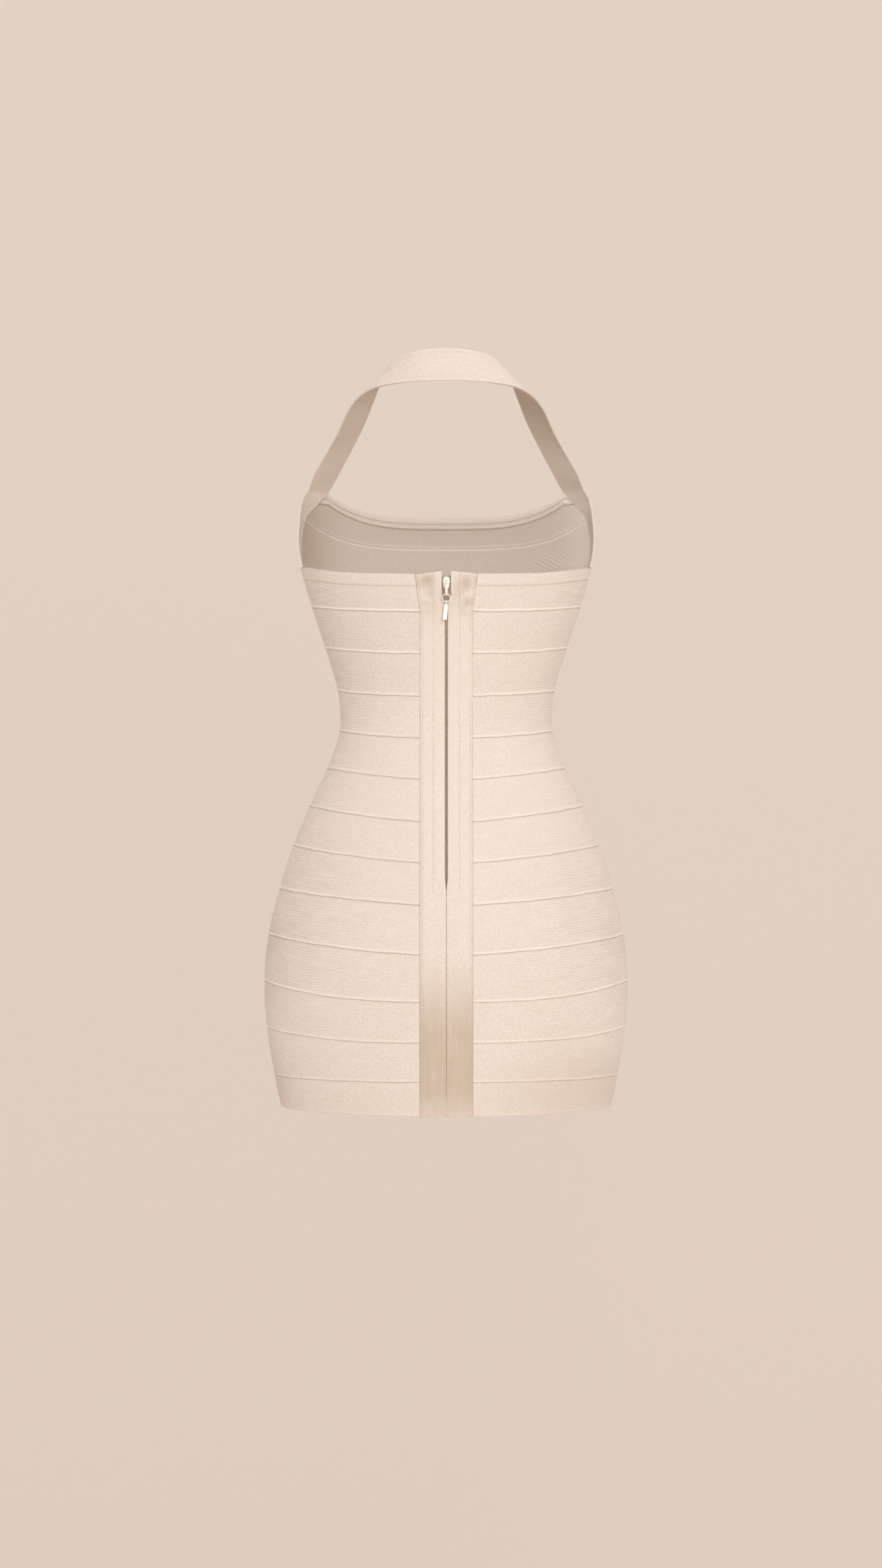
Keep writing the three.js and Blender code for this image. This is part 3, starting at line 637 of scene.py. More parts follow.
def knit_courses_group():
    """Fine courses of a bandage knit that run along U, with a yarn grain over them."""
    wale_step, loop_step = 0.0016, 0.0013
    group, nodes, given, result = new_group(
        "Knit courses",
        [
            ("Coordinates", VECTOR, None),
            ("Pitch", NUMBER, 0.0026),
            ("Wander", NUMBER, 1.0),
            ("Ribbing", NUMBER, 0.5),
        ],
        [("Height", NUMBER), ("Groove", NUMBER)],
    )
    calc, place = nodes.math, given["Coordinates"]
    parts = nodes.add("ShaderNodeSeparateXYZ")
    nodes.join(place, parts.inputs[0])
    wander = nodes.noise(nodes.stretch(place, (0.3, 1.0, 1.0)), 95.0, 1.0)
    drift = calc("MULTIPLY", calc("SUBTRACT", wander, 0.5), given["Wander"])
    phase = calc("ADD", calc("DIVIDE", parts.outputs["Y"], given["Pitch"]), drift)
    wave = calc("SINE", calc("MULTIPLY", phase, 2 * math.pi))
    course = calc("MULTIPLY_ADD", wave, 0.5, 0.5)
    broken = nodes.noise(nodes.stretch(place, (0.22, 1.0, 1.0)), 160.0, 1.0)
    strength = calc("MULTIPLY", given["Ribbing"], nodes.between(broken, 0.3, 0.7, 0.4, 1.1))
    grain = nodes.noise(nodes.stretch(place, (1.0, 1.6, 1.0)), 1100.0, 2.0, 0.65)
    fine = nodes.noise(nodes.stretch(place, (0.5, 2.6, 1.0)), 520.0, 1.0)
    wale = calc("SINE", calc("MULTIPLY_ADD", parts.outputs["X"], 2 * math.pi / wale_step, drift))
    loop = calc("SINE", calc("MULTIPLY_ADD", parts.outputs["Y"], 2 * math.pi / loop_step, drift))
    lattice = calc("MULTIPLY_ADD", calc("MULTIPLY", wale, loop), 0.5, 0.5)
    height = calc("MULTIPLY", course, strength)
    for relief, share in ((lattice, 0.35), (grain, 0.45), (fine, 0.28)):
        height = calc("MULTIPLY_ADD", relief, share, height)
    nodes.join(height, result["Height"])
    # Groove is painted shade: darker between the courses and in the dips between the loops
    groove = calc("MULTIPLY", calc("SUBTRACT", 1.0, course), strength)
    hollow_shade = calc("MULTIPLY", calc("SUBTRACT", 1.0, lattice), 0.22)
    nodes.join(calc("ADD", groove, hollow_shade), result["Groove"])
    return group


def cloth_tone_group():
    """Colour and roughness of the knit: mottling, courses, seam lines and a warmer blush."""
    # Colours of the painted shade lines and the painted highlights
    shade_line_colour, highlight_colour = (*linear(170, 140, 115), 1.0), (*linear(253, 243, 230), 1.0)
    colours = [(name, COLOUR, None) for name in ("Base", "Shade", "Blush colour")]
    numbers = [(name, NUMBER, 0.0) for name in ("Groove", "Seam", "Blush")]
    group, nodes, given, result = new_group(
        "Cloth tone",
        [("Place", VECTOR, None), *colours, *numbers],
        [("Color", COLOUR), ("Roughness", NUMBER)],
    )
    calc, place, shade = nodes.math, given["Place"], given["Shade"]
    tone = given["Base"]
    for noise, low, high, most in (
        ((14.0, 3.0, 0.6), 0.35, 0.68, 0.16),
        ((160.0, 2.0, 0.6), 0.3, 0.7, 0.1),
        ((470.0, 1.0), 0.36, 0.64, 0.46),
        ((1100.0, 2.0, 0.7), 0.38, 0.66, 0.3),
    ):
        tone = nodes.mix(nodes.between(nodes.noise(place, *noise), low, high, 0.0, most), tone, shade)
    # Painted shade in the grooves between the courses
    tone = nodes.mix(calc("MULTIPLY", given["Groove"], 0.85, clamp=True), tone, shade)
    # A warmer blush, which also holds painted shade at the sides, the hem and the placket's puckers
    uneven = nodes.between(nodes.noise(place, 60.0, 2.0), 0.3, 0.7, 0.9, 1.03)
    tone = nodes.mix(calc("MULTIPLY", given["Blush"], uneven, clamp=True), tone, given["Blush colour"])
    # Below 0 the seam input mixes in painted shade, above 0 a painted highlight
    dark = calc("MULTIPLY", calc("MAXIMUM", calc("MULTIPLY", given["Seam"], -1.0), 0.0), 0.5)
    tone = nodes.mix(calc("MINIMUM", dark, 1.0), tone, shade_line_colour)
    light = calc("MULTIPLY", calc("MAXIMUM", given["Seam"], 0.0), 0.6, clamp=True)
    nodes.join(nodes.mix(light, tone, highlight_colour), result["Color"])
    nodes.join(nodes.between(nodes.noise(place, 300.0), 0.3, 0.7, 0.74, 0.9), result["Roughness"])
    return group


def new_material(name):
    material = bpy.data.materials.new(name)
    material.use_nodes = True
    return material, Tree(material.node_tree), material.node_tree.nodes["Principled BSDF"]


def knit_material(name, base, shade, blush, pitch, wander, bump_metres, sheen):
    material, nodes, shader = new_material(name)
    courses = nodes.effect("Knit courses", knit_courses_group)
    tone = nodes.effect("Cloth tone", cloth_tone_group)
    cloth_place = nodes.add("ShaderNodeUVMap", uv_map="cloth").outputs[0]
    # seam holds painted highlights and painted shade, and blush a warmer tone that also holds painted shade
    ribbing, seam, warmth_and_shade = (nodes.attribute(label) for label in ("ribbing", "seam", "blush"))
    nodes.fill(courses, Coordinates=cloth_place, Pitch=pitch, Wander=wander, Ribbing=ribbing)
    nodes.fill(tone, Place=nodes.place(), Base=(*base, 1.0), Shade=(*shade, 1.0))
    nodes.fill(tone, Groove=courses.outputs["Groove"], Seam=seam, Blush=warmth_and_shade, Blush_colour=(*blush, 1.0))
    nodes.fill(shader, Base_Color=tone.outputs["Color"], Roughness=tone.outputs["Roughness"])
    nodes.fill(shader, Sheen_Weight=sheen, Sheen_Roughness=0.45, Specular_IOR_Level=0.25)
    nodes.bump(shader, courses.outputs["Height"], bump_metres)
    return material


def fine_mottle_group():
    """Two near colours mixed by a noise that also gives a small relief and an uneven roughness."""
    given_kinds = [("Place", VECTOR, None), ("First", COLOUR, None), ("Second", COLOUR, None)]
    given_kinds += [("Scale", NUMBER, 500.0), ("Roughness", NUMBER, 0.5)]
    group, nodes, given, result = new_group(
        "Fine mottle", given_kinds, [("Color", COLOUR), ("Roughness", NUMBER), ("Height", NUMBER)]
    )
    height = nodes.noise(given["Place"], given["Scale"], 2.0, 0.6)
    share = nodes.between(height, 0.35, 0.65, 0.0, 1.0)
    nodes.join(nodes.mix(share, given["First"], given["Second"]), result["Color"])
    uneven = nodes.between(height, 0.3, 0.7, -0.07, 0.07)
    nodes.join(nodes.math("ADD", given["Roughness"], uneven, clamp=True), result["Roughness"])
    nodes.join(height, result["Height"])
    return group


def plain_material(
    name, base, second, scale, roughness, bump_metres, stretch=(1, 1, 1), metallic=0.0, coat=0.0
):
    """Thread, tape, tooth, enamel or paper."""
    material, nodes, shader = new_material(name)
    mottle = nodes.effect("Fine mottle", fine_mottle_group)
    nodes.fill(mottle, Place=nodes.stretch(nodes.place(), stretch), First=(*base, 1.0), Second=(*second, 1.0))
    nodes.fill(mottle, Scale=scale, Roughness=roughness)
    nodes.fill(shader, Base_Color=mottle.outputs["Color"], Roughness=mottle.outputs["Roughness"])
    nodes.fill(shader, Metallic=metallic, Coat_Weight=coat)
    nodes.bump(shader, mottle.outputs["Height"], bump_metres)
    return material


def toned(colour, factor):
    """A colour made darker or lighter."""
    return tuple(channel * factor for channel in colour)


def finish(name):
    """The dress's materials, each built when it is first asked for."""
    made = bpy.data.materials.get(name)
    if made:
        return made
    cloth, enamel = bpy.context.scene.dress_cloth, tuple(bpy.context.scene.dress_zip.enamel_colour)
    face, shade, blush = tuple(cloth.face_colour), tuple(cloth.shade_colour), tuple(cloth.blush_and_shade_colour)
    wrong, pitch = tuple(cloth.wrong_side_shaded_colour), cloth.course_pitch * MM
    # Face, shade and blush, course pitch, its wander, bump in metres and sheen. The wrong sides are darker
    # partly as painted shade of the dress's inside
    knits = {
        "Bandage knit": (face, shade, blush, pitch, 1.2, 0.0003, 0.12),
        "Bandage knit wrong side shaded": (wrong, toned(wrong, 0.84), blush, pitch, 1.0, 0.00016, 0.08),
        "Placket knit": (face, shade, blush, TRIM_PITCH, 0.5, 0.0002, 0.12),
        "Strap knit": (face, shade, blush, TRIM_PITCH, 0.4, 0.0002, 0.15),
        "Strap wrong side shaded": (toned(wrong, 1.12), wrong, blush, TRIM_PITCH, 0.4, 0.00014, 0.08),
    }
    # Two near colours, noise scale, roughness, bump in metres, then the noise's stretch, metallic and coat
    others = {
        "Sewing thread": (linear(253, 242, 228), linear(241, 223, 203), 900, 0.6, 0.00006),
        # The inside stitches are a darker copy of the thread, as painted shade
        "Sewing thread wrong side shaded": (linear(236, 223, 209), linear(220, 206, 190), 900, 0.65, 0.00006),
        "Zip tape": (linear(205, 182, 160), linear(184, 158, 137), 700, 0.85, 0.0001, (1, 1, 2)),
        "Zip teeth": (linear(222, 201, 180), linear(196, 172, 150), 500, 0.45, 0.00003),
        "Zip enamel": (enamel, toned(enamel, 0.93), 420, 0.3, 0.00002, (1, 1, 1), 0.15, 0.5),
    }
    return knit_material(name, *knits[name]) if name in knits else plain_material(name, *others[name])


def blush_and_shade_share(angle, z):
    """Where the cloth is a little warmer and darker: the sides of the hip and hem, more at -X."""
    turn = turn_degrees(angle)
    side = bell(np.abs(turn) - 80, 20)
    spots = 0.6 * bell(z - 165, 22) + 0.5 * bell(z - 118, 14) + 0.6 * bell(z - 22, 24)
    spots = spots + 0.1 * bell(z - 430, 70)
    # Painted shade low at the hem, most on the +X side
    hem = 0.4 * bell(z - 28, 36) * bell(turn - 52, 26)
    hem = hem + 0.14 * bell(z - 14, 26) * bell(np.abs(turn) - 30, 22)
    return np.clip(side * spots * np.where(turn < 0, 0.62, 0.3) + hem, 0, 1)


def inside_lines_light_and_shade(angle, z, below, fold_depth):
    """Lighter and darker parts of the wrong side of the bust strips."""
    turn = turn_degrees(angle)
    # Painted light at the +X end and painted shade at the -X end
    tone = (1.7 * bell(turn - 106, 24) - 0.75 * bell(turn + 108, 26)) * smoothstep(z, 520, 545)
    from_end = np.abs(turn) - np.degrees(armhole_angle(z) + armhole_gap_angle(z))
    # Painted shade at the ends by the armholes
    tone = tone - 0.6 * bell(from_end, 0.9)
    if fold_depth:
        # On the fold: lighter over the fold and near its ends, more at +X
        tone = tone + 0.52 * (1 - smoothstep(below, fold_depth - 0.6, fold_depth + 0.2))
        tone += np.where(turn > 0, 0.7, 0.35) * bell(from_end - 4, 2.5) * bell(below - 7.5, 3)
        # Lighter lines along the sewn lines, with painted shade in the groove between them and under the
        # fold's edge
        tone += 0.5 * bell(below - 3.7, 0.6) - 1.3 * bell(below - 5.2, 0.6)
        tone += 0.4 * bell(below - 9.4, 0.7) - 1.4 * bell(below - fold_depth - 0.2, 0.7)
    return tone


def fan_creases(angle, z):
    """Fine slanting creases inside the bust, strongest low on the +X side."""
    turn = turn_degrees(angle)
    right = np.sin(2 * math.pi * (z - 0.9 * (turn - 137)) / 4.2) * bell(turn - 136, 12) * bell(z - 546, 13)
    left = np.sin(2 * math.pi * (z + 0.7 * (turn + 141)) / 5.0) * bell(turn + 140, 10) * bell(z - 551, 11)
    return right + 0.4 * left


def fade(distance, length):
    """1 at an edge, and less with the distance from it."""
    return np.exp(-np.maximum(distance, 0) / length)


def band_relief(angle, z, below, above, ridge, cloth):
    """Height of a band's outer face over its plain form: its crown, seam ridge, tuck and creases."""
    down = np.clip(below / (below + above), 0, 1)
    out = cloth.band_crown * 4 * down * (1 - down)
    uneven = 1 + 0.3 * lattice_noise(np.cos(angle) * 22 + 30, np.sin(angle) * 22 + 30, 9)
    out += ridge * uneven * bell(above - 1.1, 0.75)
    out -= TUCK_DEPTH * tuck_share(angle, z) * fade(below, TUCK_LENGTH)
    calm = smoothstep(below, 0, 5) * smoothstep(above, 1.5, 6)
    return out + calm * crease_relief(angle, z) * cloth.crease_height


def left_share(angle):
    """1 on the side away from the key light, 0 on the side that faces it."""
    return smoothstep(-np.sin(angle), -0.2, 0.5)


def tuck_share(angle, z):
    """How deep the tuck under a seam is: less on the -X side and near the hem."""
    return (1 - 0.36 * left_share(angle)) * (0.2 + 0.8 * smoothstep(z, 40, 150))


def tuck_shade_line(angle, z, below):
    """The dark line of the tuck below a seam."""
    return 0.9 * tuck_share(angle, z) * fade(below, TUCK_LENGTH)


def seam_highlight_and_shade(angle, z, below, above, ridge_share):
    """Light along the ridge over the seam below, dark in the tuck under the seam above."""
    light = ridge_share * (1.15 + 0.3 * left_share(angle)) * (0.2 + 0.8 * smoothstep(z, 40, 140))
    return light * bell(above - 1.4, 1.0) - tuck_shade_line(angle, z, below) - 0.3 * bell(above, 0.3)


def around_mm(points):
    """Length along each row of a grid, from its first column."""
    steps = np.linalg.norm(np.diff(points, axis=1), axis=2)
    return np.concatenate([np.zeros((points.shape[0], 1)), np.cumsum(steps, axis=1)], axis=1)


def middle_length(points):
    """Length in metres along the middle row of a grid."""
    return float(around_mm(points)[len(points) // 2, -1]) * MM


def hem_share(angle):
    """1 where the top edge has its folded hem, across the back, and 0 under the bust strips."""
    return smoothstep(np.cos(angle), 0.02, 0.12)


def cloth_strip(name, upper, lower, span, columns, rows, hem=None, ridge_share=1.0, inside_fold=None):
    """One strip of bandage knit as a thin shell, with its flat width and height in metres.

    rows are those of its outer and its inner face. hem is its depth, rise and share of the way round.
    inside_fold is the depth of the fold seen on the wrong side of a bust strip, 0 where it has none."""
    cloth = bpy.context.scene.dress_cloth
    middle = float(np.mean([upper(SIDE), lower(SIDE)]))
    first, last = span(np.array(middle))
    shares = even_shares(float(first), float(last), middle, columns)
    grids = []
    for face_rows, outer_face in zip(rows, (True, False)):
        angle, z = strip_grid(face_rows, upper, lower, span, shares)
        below, above = upper(angle) - z, z - lower(angle)
        if outer_face:
            out = band_relief(angle, z, below, above, cloth.ridge_height * ridge_share, cloth)
            seam = seam_highlight_and_shade(angle, z, below, above, ridge_share)
        else:
            out = -cloth.wall - 0.3 * bell(above, 1.6) - 0.3 * bell(below, 1.6)
            # Painted highlight along the wrong side's raised edges, and painted shade a little above its
            # lower edge
            seam = 0.9 * bell(above, 1.5) - 0.5 * bell(above - 3.2, 1.2) + 0.5 * bell(below, 1.2)
            if inside_fold is not None:
                # Painted highlight below a bust strip's top edge, and painted shade at its lower seam
                seam = 0.95 * bell(below - 1.1, 1.2) + 0.25 * bell(above - 2.0, 1.0) - 0.35 * bell(above, 0.6)
                fan = fan_creases(angle, z)
                out = out - 0.3 * fan
                # The fan creases' crests get painted light and their troughs painted shade
                seam = seam + inside_lines_light_and_shade(angle, z, below, inside_fold) + 0.4 * fan
        if hem:
            depth, rise, share = hem
            fold = rise * share(angle) * (1 - smoothstep(below, depth - 0.9, depth + 0.3))
            out = out + fold if outer_face else out - fold
            if outer_face:
                out = out + TUCK_DEPTH * tuck_share(angle, z) * share(angle) * fade(below, TUCK_LENGTH)
                # The hem has no tuck under its edge, so its painted shade line is taken back, and a painted
                # shade line runs under the fold
                fold_shade_line = 0.35 * bell(below - depth - 0.3, 0.7)
                seam = seam + share(angle) * (tuck_shade_line(angle, z, below) - fold_shade_line)
        points = raised_point(angle, z, out)
        numbers = {
            "seam": seam,
            "ribbing": rib_share(angle, z) * (1.0 if outer_face else 0.35),
            "blush": blush_and_shade_share(angle, z) if outer_face or inside_fold is None else 0 * z,
        }
        grids.append((points, np.stack([around_mm(points), below], axis=-1), numbers))
    piece = shell_object(f"cloth_{name}", *grids)
    dress_piece(piece, "bandage_knit", [name], "Bandage knit", "Bandage knit wrong side shaded")
    height = float(np.mean(upper(angle[0]) - lower(angle[-1]))) * MM
    return piece, middle_length(grids[0][0]) / cloth.stretch_round, height


def band_span(z):
    """First and last angle of the bands, at the placket strips."""
    first = angle_at_x(placket_outer_x(z) + SHOWN_GAP, z)
    return first, 2 * math.pi - first


def front_span(z):
    """First and last angle of the bust strips, at the armholes."""
    first = armhole_angle(z) + armhole_gap_angle(z)
    return first, 2 * math.pi - first


def build_bands():
    """The thirteen strips of bandage knit that run round the body from one placket strip to the other."""
    for index, (top_edge, low_edge) in enumerate(zip(BAND_EDGES, BAND_EDGES[1:])):
        height = top_edge["back"] - low_edge["back"]
        top_rows, inner_top_rows, hem = TOP_ROWS, (1.6,), None
        if index == 0:
            top_rows += tuple(np.arange(3.6, 14.6, 0.75))
            inner_top_rows += (11.0, 12.2)
            hem = (BACK_HEM_DEPTH, 0.55, hem_share)
        rows = (
            row_steps(1.1, height, top_rows, BOTTOM_ROWS),
            row_steps(7.0, height, inner_top_rows, (0.8, 1.6, 2.8)),
        )
        ridge_share = HEM_RIDGE_SHARE if index == len(BAND_EDGES) - 2 else 1.0
        upper, lower = partial(edge_height, top_edge), partial(edge_height, low_edge)
        piece, flat_width, flat_length = cloth_strip(
            f"band_{index + 1:02d}", upper, lower, band_span, BAND_COLUMNS, rows, hem, ridge_share
        )


def build_front():
    """The two strips of the bust that end at the armholes, the upper one with the neckline's fold."""
    for name, upper, lower, hem, height in (
        ("front_upper_1", neckline_height, front_seam_height, (NECK_HEM_DEPTH, 0.5, np.ones_like), 30.0),
        ("front_upper_2", front_seam_height, partial(edge_height, BAND_EDGES[0]), None, 42.0),
    ):
        top_rows, inner_top_rows = TOP_ROWS, (1.6,)
        if hem:
            top_rows += tuple(np.arange(3.6, 12.8, 0.75))
            inner_top_rows = (0.5, 1.5) + tuple(np.arange(2.5, 13.0, 0.8))
        rows = (
            row_steps(1.1, height, top_rows, BOTTOM_ROWS),
            row_steps(1.6, height, inner_top_rows, (0.5, 1.0, 1.6, 2.8)),
        )
        inside_fold = NECK_HEM_DEPTH if hem else 0.0
        piece, flat_width, flat_length = cloth_strip(
            name, upper, lower, front_span, FRONT_COLUMNS, rows, hem, inside_fold=inside_fold
        )


def smooth_path(rows, count):
    """Centripetal curve through rows of points. Every column of the rows is a curve of its own."""
    points = np.asarray(rows, dtype=float)
    first = 2 * points[0] - points[1]
    last = 2 * points[-1] - points[-2]
    points = np.concatenate([first[None], points, last[None]])
    at = np.linspace(0, len(rows) - 1, count)
    leg = np.minimum(at.astype(int), len(rows) - 2)
    t = (at - leg)[:, None, None]
    p0, p1, p2, p3 = points[leg], points[leg + 1], points[leg + 2], points[leg + 3]

    def knot(a, b):
        return np.maximum(np.linalg.norm(b - a, axis=-1, keepdims=True) ** 0.5, 1e-4)

    d0, d1, d2 = knot(p0, p1), knot(p1, p2), knot(p2, p3)
    leave = ((p1 - p0) / d0 - (p2 - p0) / (d0 + d1) + (p2 - p1) / d1) * d1
    arrive = ((p2 - p1) / d1 - (p3 - p1) / (d1 + d2) + (p3 - p2) / d2) * d1
    c2 = -3 * p1 + 3 * p2 - 2 * leave - arrive
    c3 = 2 * p1 - 2 * p2 + leave + arrive
    return p1 + leave * t + c2 * t ** 2 + c3 * t ** 3


def strap_edge_out(across):
    """Height of the strap's outer face: two stitched edges that stand slightly proud and a flat middle."""
    from_edge = np.minimum(across, 1 - across)
    edge = 0.2 * bell(from_edge - 0.05, 0.04) - 0.04 * bell(from_edge - 0.135, 0.018)
    return 0.1 + edge - 0.12 * bell(from_edge, 0.02)


def strap_rows(across, out):
    """Points of the strap's rows from one side seam to the other, at shares across and heights out."""
    mirror = np.array([-1.0, 1.0, 1.0])
    body_rows, body_ends = [], []
    for row in STRAP_ON_BODY:
        neck_angle = armhole_angle(row["inner"])
        shoulder_angle = angle_at_y(row["outer_y"], row["outer"])
        angle = neck_angle + (shoulder_angle - neck_angle) * across
        body_rows.append(raised_point(angle, row["inner"] + (row["outer"] - row["inner"]) * across, out))
        body_ends.append(face_point(neck_angle, row["inner"]) + face_point(shoulder_angle, row["outer"]))
    edges = [[np.array(row[edge], dtype=float) for edge in ("neck", "shoulder")] for row in STRAP_FREE]
    middles = [sum(pair) for pair in edges]
    middles = [middles[1] * mirror] + middles + body_ends[:1]
    free_rows = []
    for index, (neck, shoulder) in enumerate(edges):
        normal = np.cross(middles[index + 2] - middles[index], neck - shoulder)
        normal /= np.linalg.norm(normal)
        free_rows.append(neck + (shoulder - neck) * across[:, None] + normal * np.asarray(out)[:, None])
    half = free_rows + body_rows
    return [row * mirror for row in half[:0:-1]] + half


def build_strap():
    """The halter strap, from one side seam over the nape to the other."""
    edge = np.array([0, 0.02, 0.04, 0.06, 0.09, 0.12, 0.135, 0.16])
    across_out = np.concatenate([edge, np.linspace(0.2, 0.8, 9), 1 - edge[::-1]])
    across_in = np.linspace(0, 1, 9)
    from_edge = np.minimum(across_out, 1 - across_out)[:, None]
    along = np.linspace(0, 1, STRAP_COLUMNS)
    # Painted highlight along the outer face's edges and painted shade in its stitch grooves; painted light
    # and painted shade on the inner face of the +X leg
    outer_edge_light_and_shade = 0.5 * bell(from_edge, 0.03) - 0.16 * bell(from_edge - 0.135, 0.02)
    inner_light_and_shade = 0.45 * bell(along - 0.85, 0.035) - 0.85 * bell(along - 0.65, 0.038)
    grids = []
    for across, out, seam in (
        (across_out, strap_edge_out(across_out), outer_edge_light_and_shade),
        (across_in, np.full(across_in.shape, -TRIM_WALL), inner_light_and_shade),
    ):
        points = smooth_path(strap_rows(across, out), STRAP_COLUMNS).transpose(1, 0, 2)
        width = np.linalg.norm(points[-1] - points[0], axis=-1)
        plain = np.zeros(points.shape[:2])
        numbers = {"seam": plain + seam, "ribbing": plain + 0.22, "blush": plain}
        grids.append((points, np.stack([around_mm(points), across[:, None] * width], axis=-1), numbers))
    piece = shell_object("cloth_halter_strap", *grids)
    dress_piece(piece, "bandage_knit", ["halter_strap"], "Strap knit", "Strap wrong side shaded")


def placket_shape(across, z, x):
    """Height of a placket strip's outer face over the cloth, with its stitch grooves and rounded edges."""
    from_edge = placket_outer_x(z) - x
    out = 1.02 + 0.07 * np.cos((across - 0.25) * 4 * math.pi) + 0 * z
    out -= 0.5 * bell(from_edge - OUTER_STITCH_INSET, 0.5)
    out -= 0.5 * bell(x - INNER_STITCH_X, 0.5) * smoothstep(z, 212, 222)
    out -= 0.6 * fade(from_edge, 0.45)
    out -= 0.55 * fade(x - placket_inner_x(z), 0.5)
    return out


def pucker_relief(side, x, z):
    """Height of the puckers and of the strips' soft unevenness in mm."""
    relief = np.zeros(np.broadcast(x, z).shape)
    for pucker in PUCKERS:
        if pucker["x"] * side > 0:
            across = bell(x - abs(pucker["x"]), pucker["wide"])
            relief += pucker["rise"] * across * bell(z - pucker["z"], pucker["high"])
    wave = lattice_noise(x / 9 + 3 + 7 * side, z / 15 + 2, 21) * 0.14
    small = lattice_noise(x / 3.5 + 11, z / 4.5 + 5 * side, 22) * 0.07
    return relief + (wave + small) * (1 + 1.3 * smoothstep(z, 478, 508))


def placket_top(across, side):
    """The strips' top edges rise a little towards the zip."""
    low, lift = (1.6, 2.7) if side > 0 else (2.7, 3.6)
    return PLACKET_TOP_Z - low + lift * (1 - across) ** 0.8


def placket_blush_and_shade(side, x, z):
    """Where a placket strip is warmer and darker: low down and in the dimples below its top."""
    low = smoothstep(z, 163, 66) * (1 - 0.4 * (1 - smoothstep(z, 2, 26)))
    low = low * (0.97 + 0.13 * lattice_noise(x / 2.4 + 11, z / 38 + 5 * side, 41))
    patches = 0.22 + 0.3 * lattice_noise(x / 5 + 40, z / 8 + 9 * side, 23)
    # Painted shade in the sunken puckers below the top, uneven from place to place
    dimple_shade = patches * smoothstep(z, 476, 500) * smoothstep(x, 3, 9) * (1 - smoothstep(z, 519, 523))
    slanted = bell(z - 494 - 0.25 * (x - 19), 3)
    dimple_shade += 0.8 * bell(x - 18.6, 7.0) * bell(z - 514, 7.0) + 0.45 * bell(x - 19, 7) * slanted
    at_stitch = bell(x - INNER_STITCH_X, 3)
    dimple_shade += 0.25 * at_stitch * bell(z - 503, 10) + 0.2 * bell(x - 20, 6) * bell(z - 486, 6)
    return np.clip(low + dimple_shade * (1.0 if side > 0 else 0.9), 0, 1)


def build_placket():
    """The two strips of knit beside the zip, which lie over the ends of the bands."""
    heights = np.concatenate([[0, 0.0008, 0.0022, 0.004], np.linspace(0.006, 1, 400)])[None, :]
    shares = np.concatenate([[0, 0.012, 0.03, 0.05], np.linspace(0.075, 0.94, 44), [0.957, 0.972, 0.986, 1]])
    for side, name in ((-1, "placket_left"), (1, "placket_right")):
        grids = []
        for across, outer_face in ((shares[:, None], True), (np.linspace(0, 1, 7)[:, None], False)):
            top = placket_top(across, side)
            z = top + (PLACKET_BOTTOM_Z - top) * heights
            outer_x = placket_outer_x(z)
            x = placket_inner_x(z) + (outer_x - placket_inner_x(z)) * across
            out, seam = np.full(z.shape, -TRIM_WALL), np.zeros(z.shape)
            if outer_face:
                out = placket_shape(across, z, x) + pucker_relief(side, x, z)
                ribs = 0.05 * np.sin(2 * math.pi * x / 2.1 + lattice_noise(x / 6, z / 30, 31))
                out += ribs - 0.45 * fade(top - z, 0.5)
                from_inner = np.abs(x - INNER_STITCH_X) + 9 * (z < CHAIN_BOTTOM_Z)
                from_stitch = np.minimum(np.abs(outer_x - x - OUTER_STITCH_INSET), from_inner)
                # Painted shade in the stitch grooves and along the outer edge where the strip meets the
                # bands, and painted light around the small of the back
                seam = -0.8 * bell(from_stitch, 0.4) - 0.9 * fade(outer_x - x, 0.45)
                seam = seam + 0.4 * bell(z - 432, 48)
            points = raised_point(side * angle_at_x(x, z), z, out)
            numbers = {"seam": seam, "ribbing": np.full(z.shape, 0.3), "blush": placket_blush_and_shade(side, x, z)}
            grids.append((points, np.stack([top - z, x], axis=-1), numbers))
        piece = shell_object(f"cloth_{name}", *grids)
        dress_piece(piece, "placket_knit", [name], "Placket knit", "Bandage knit wrong side shaded")


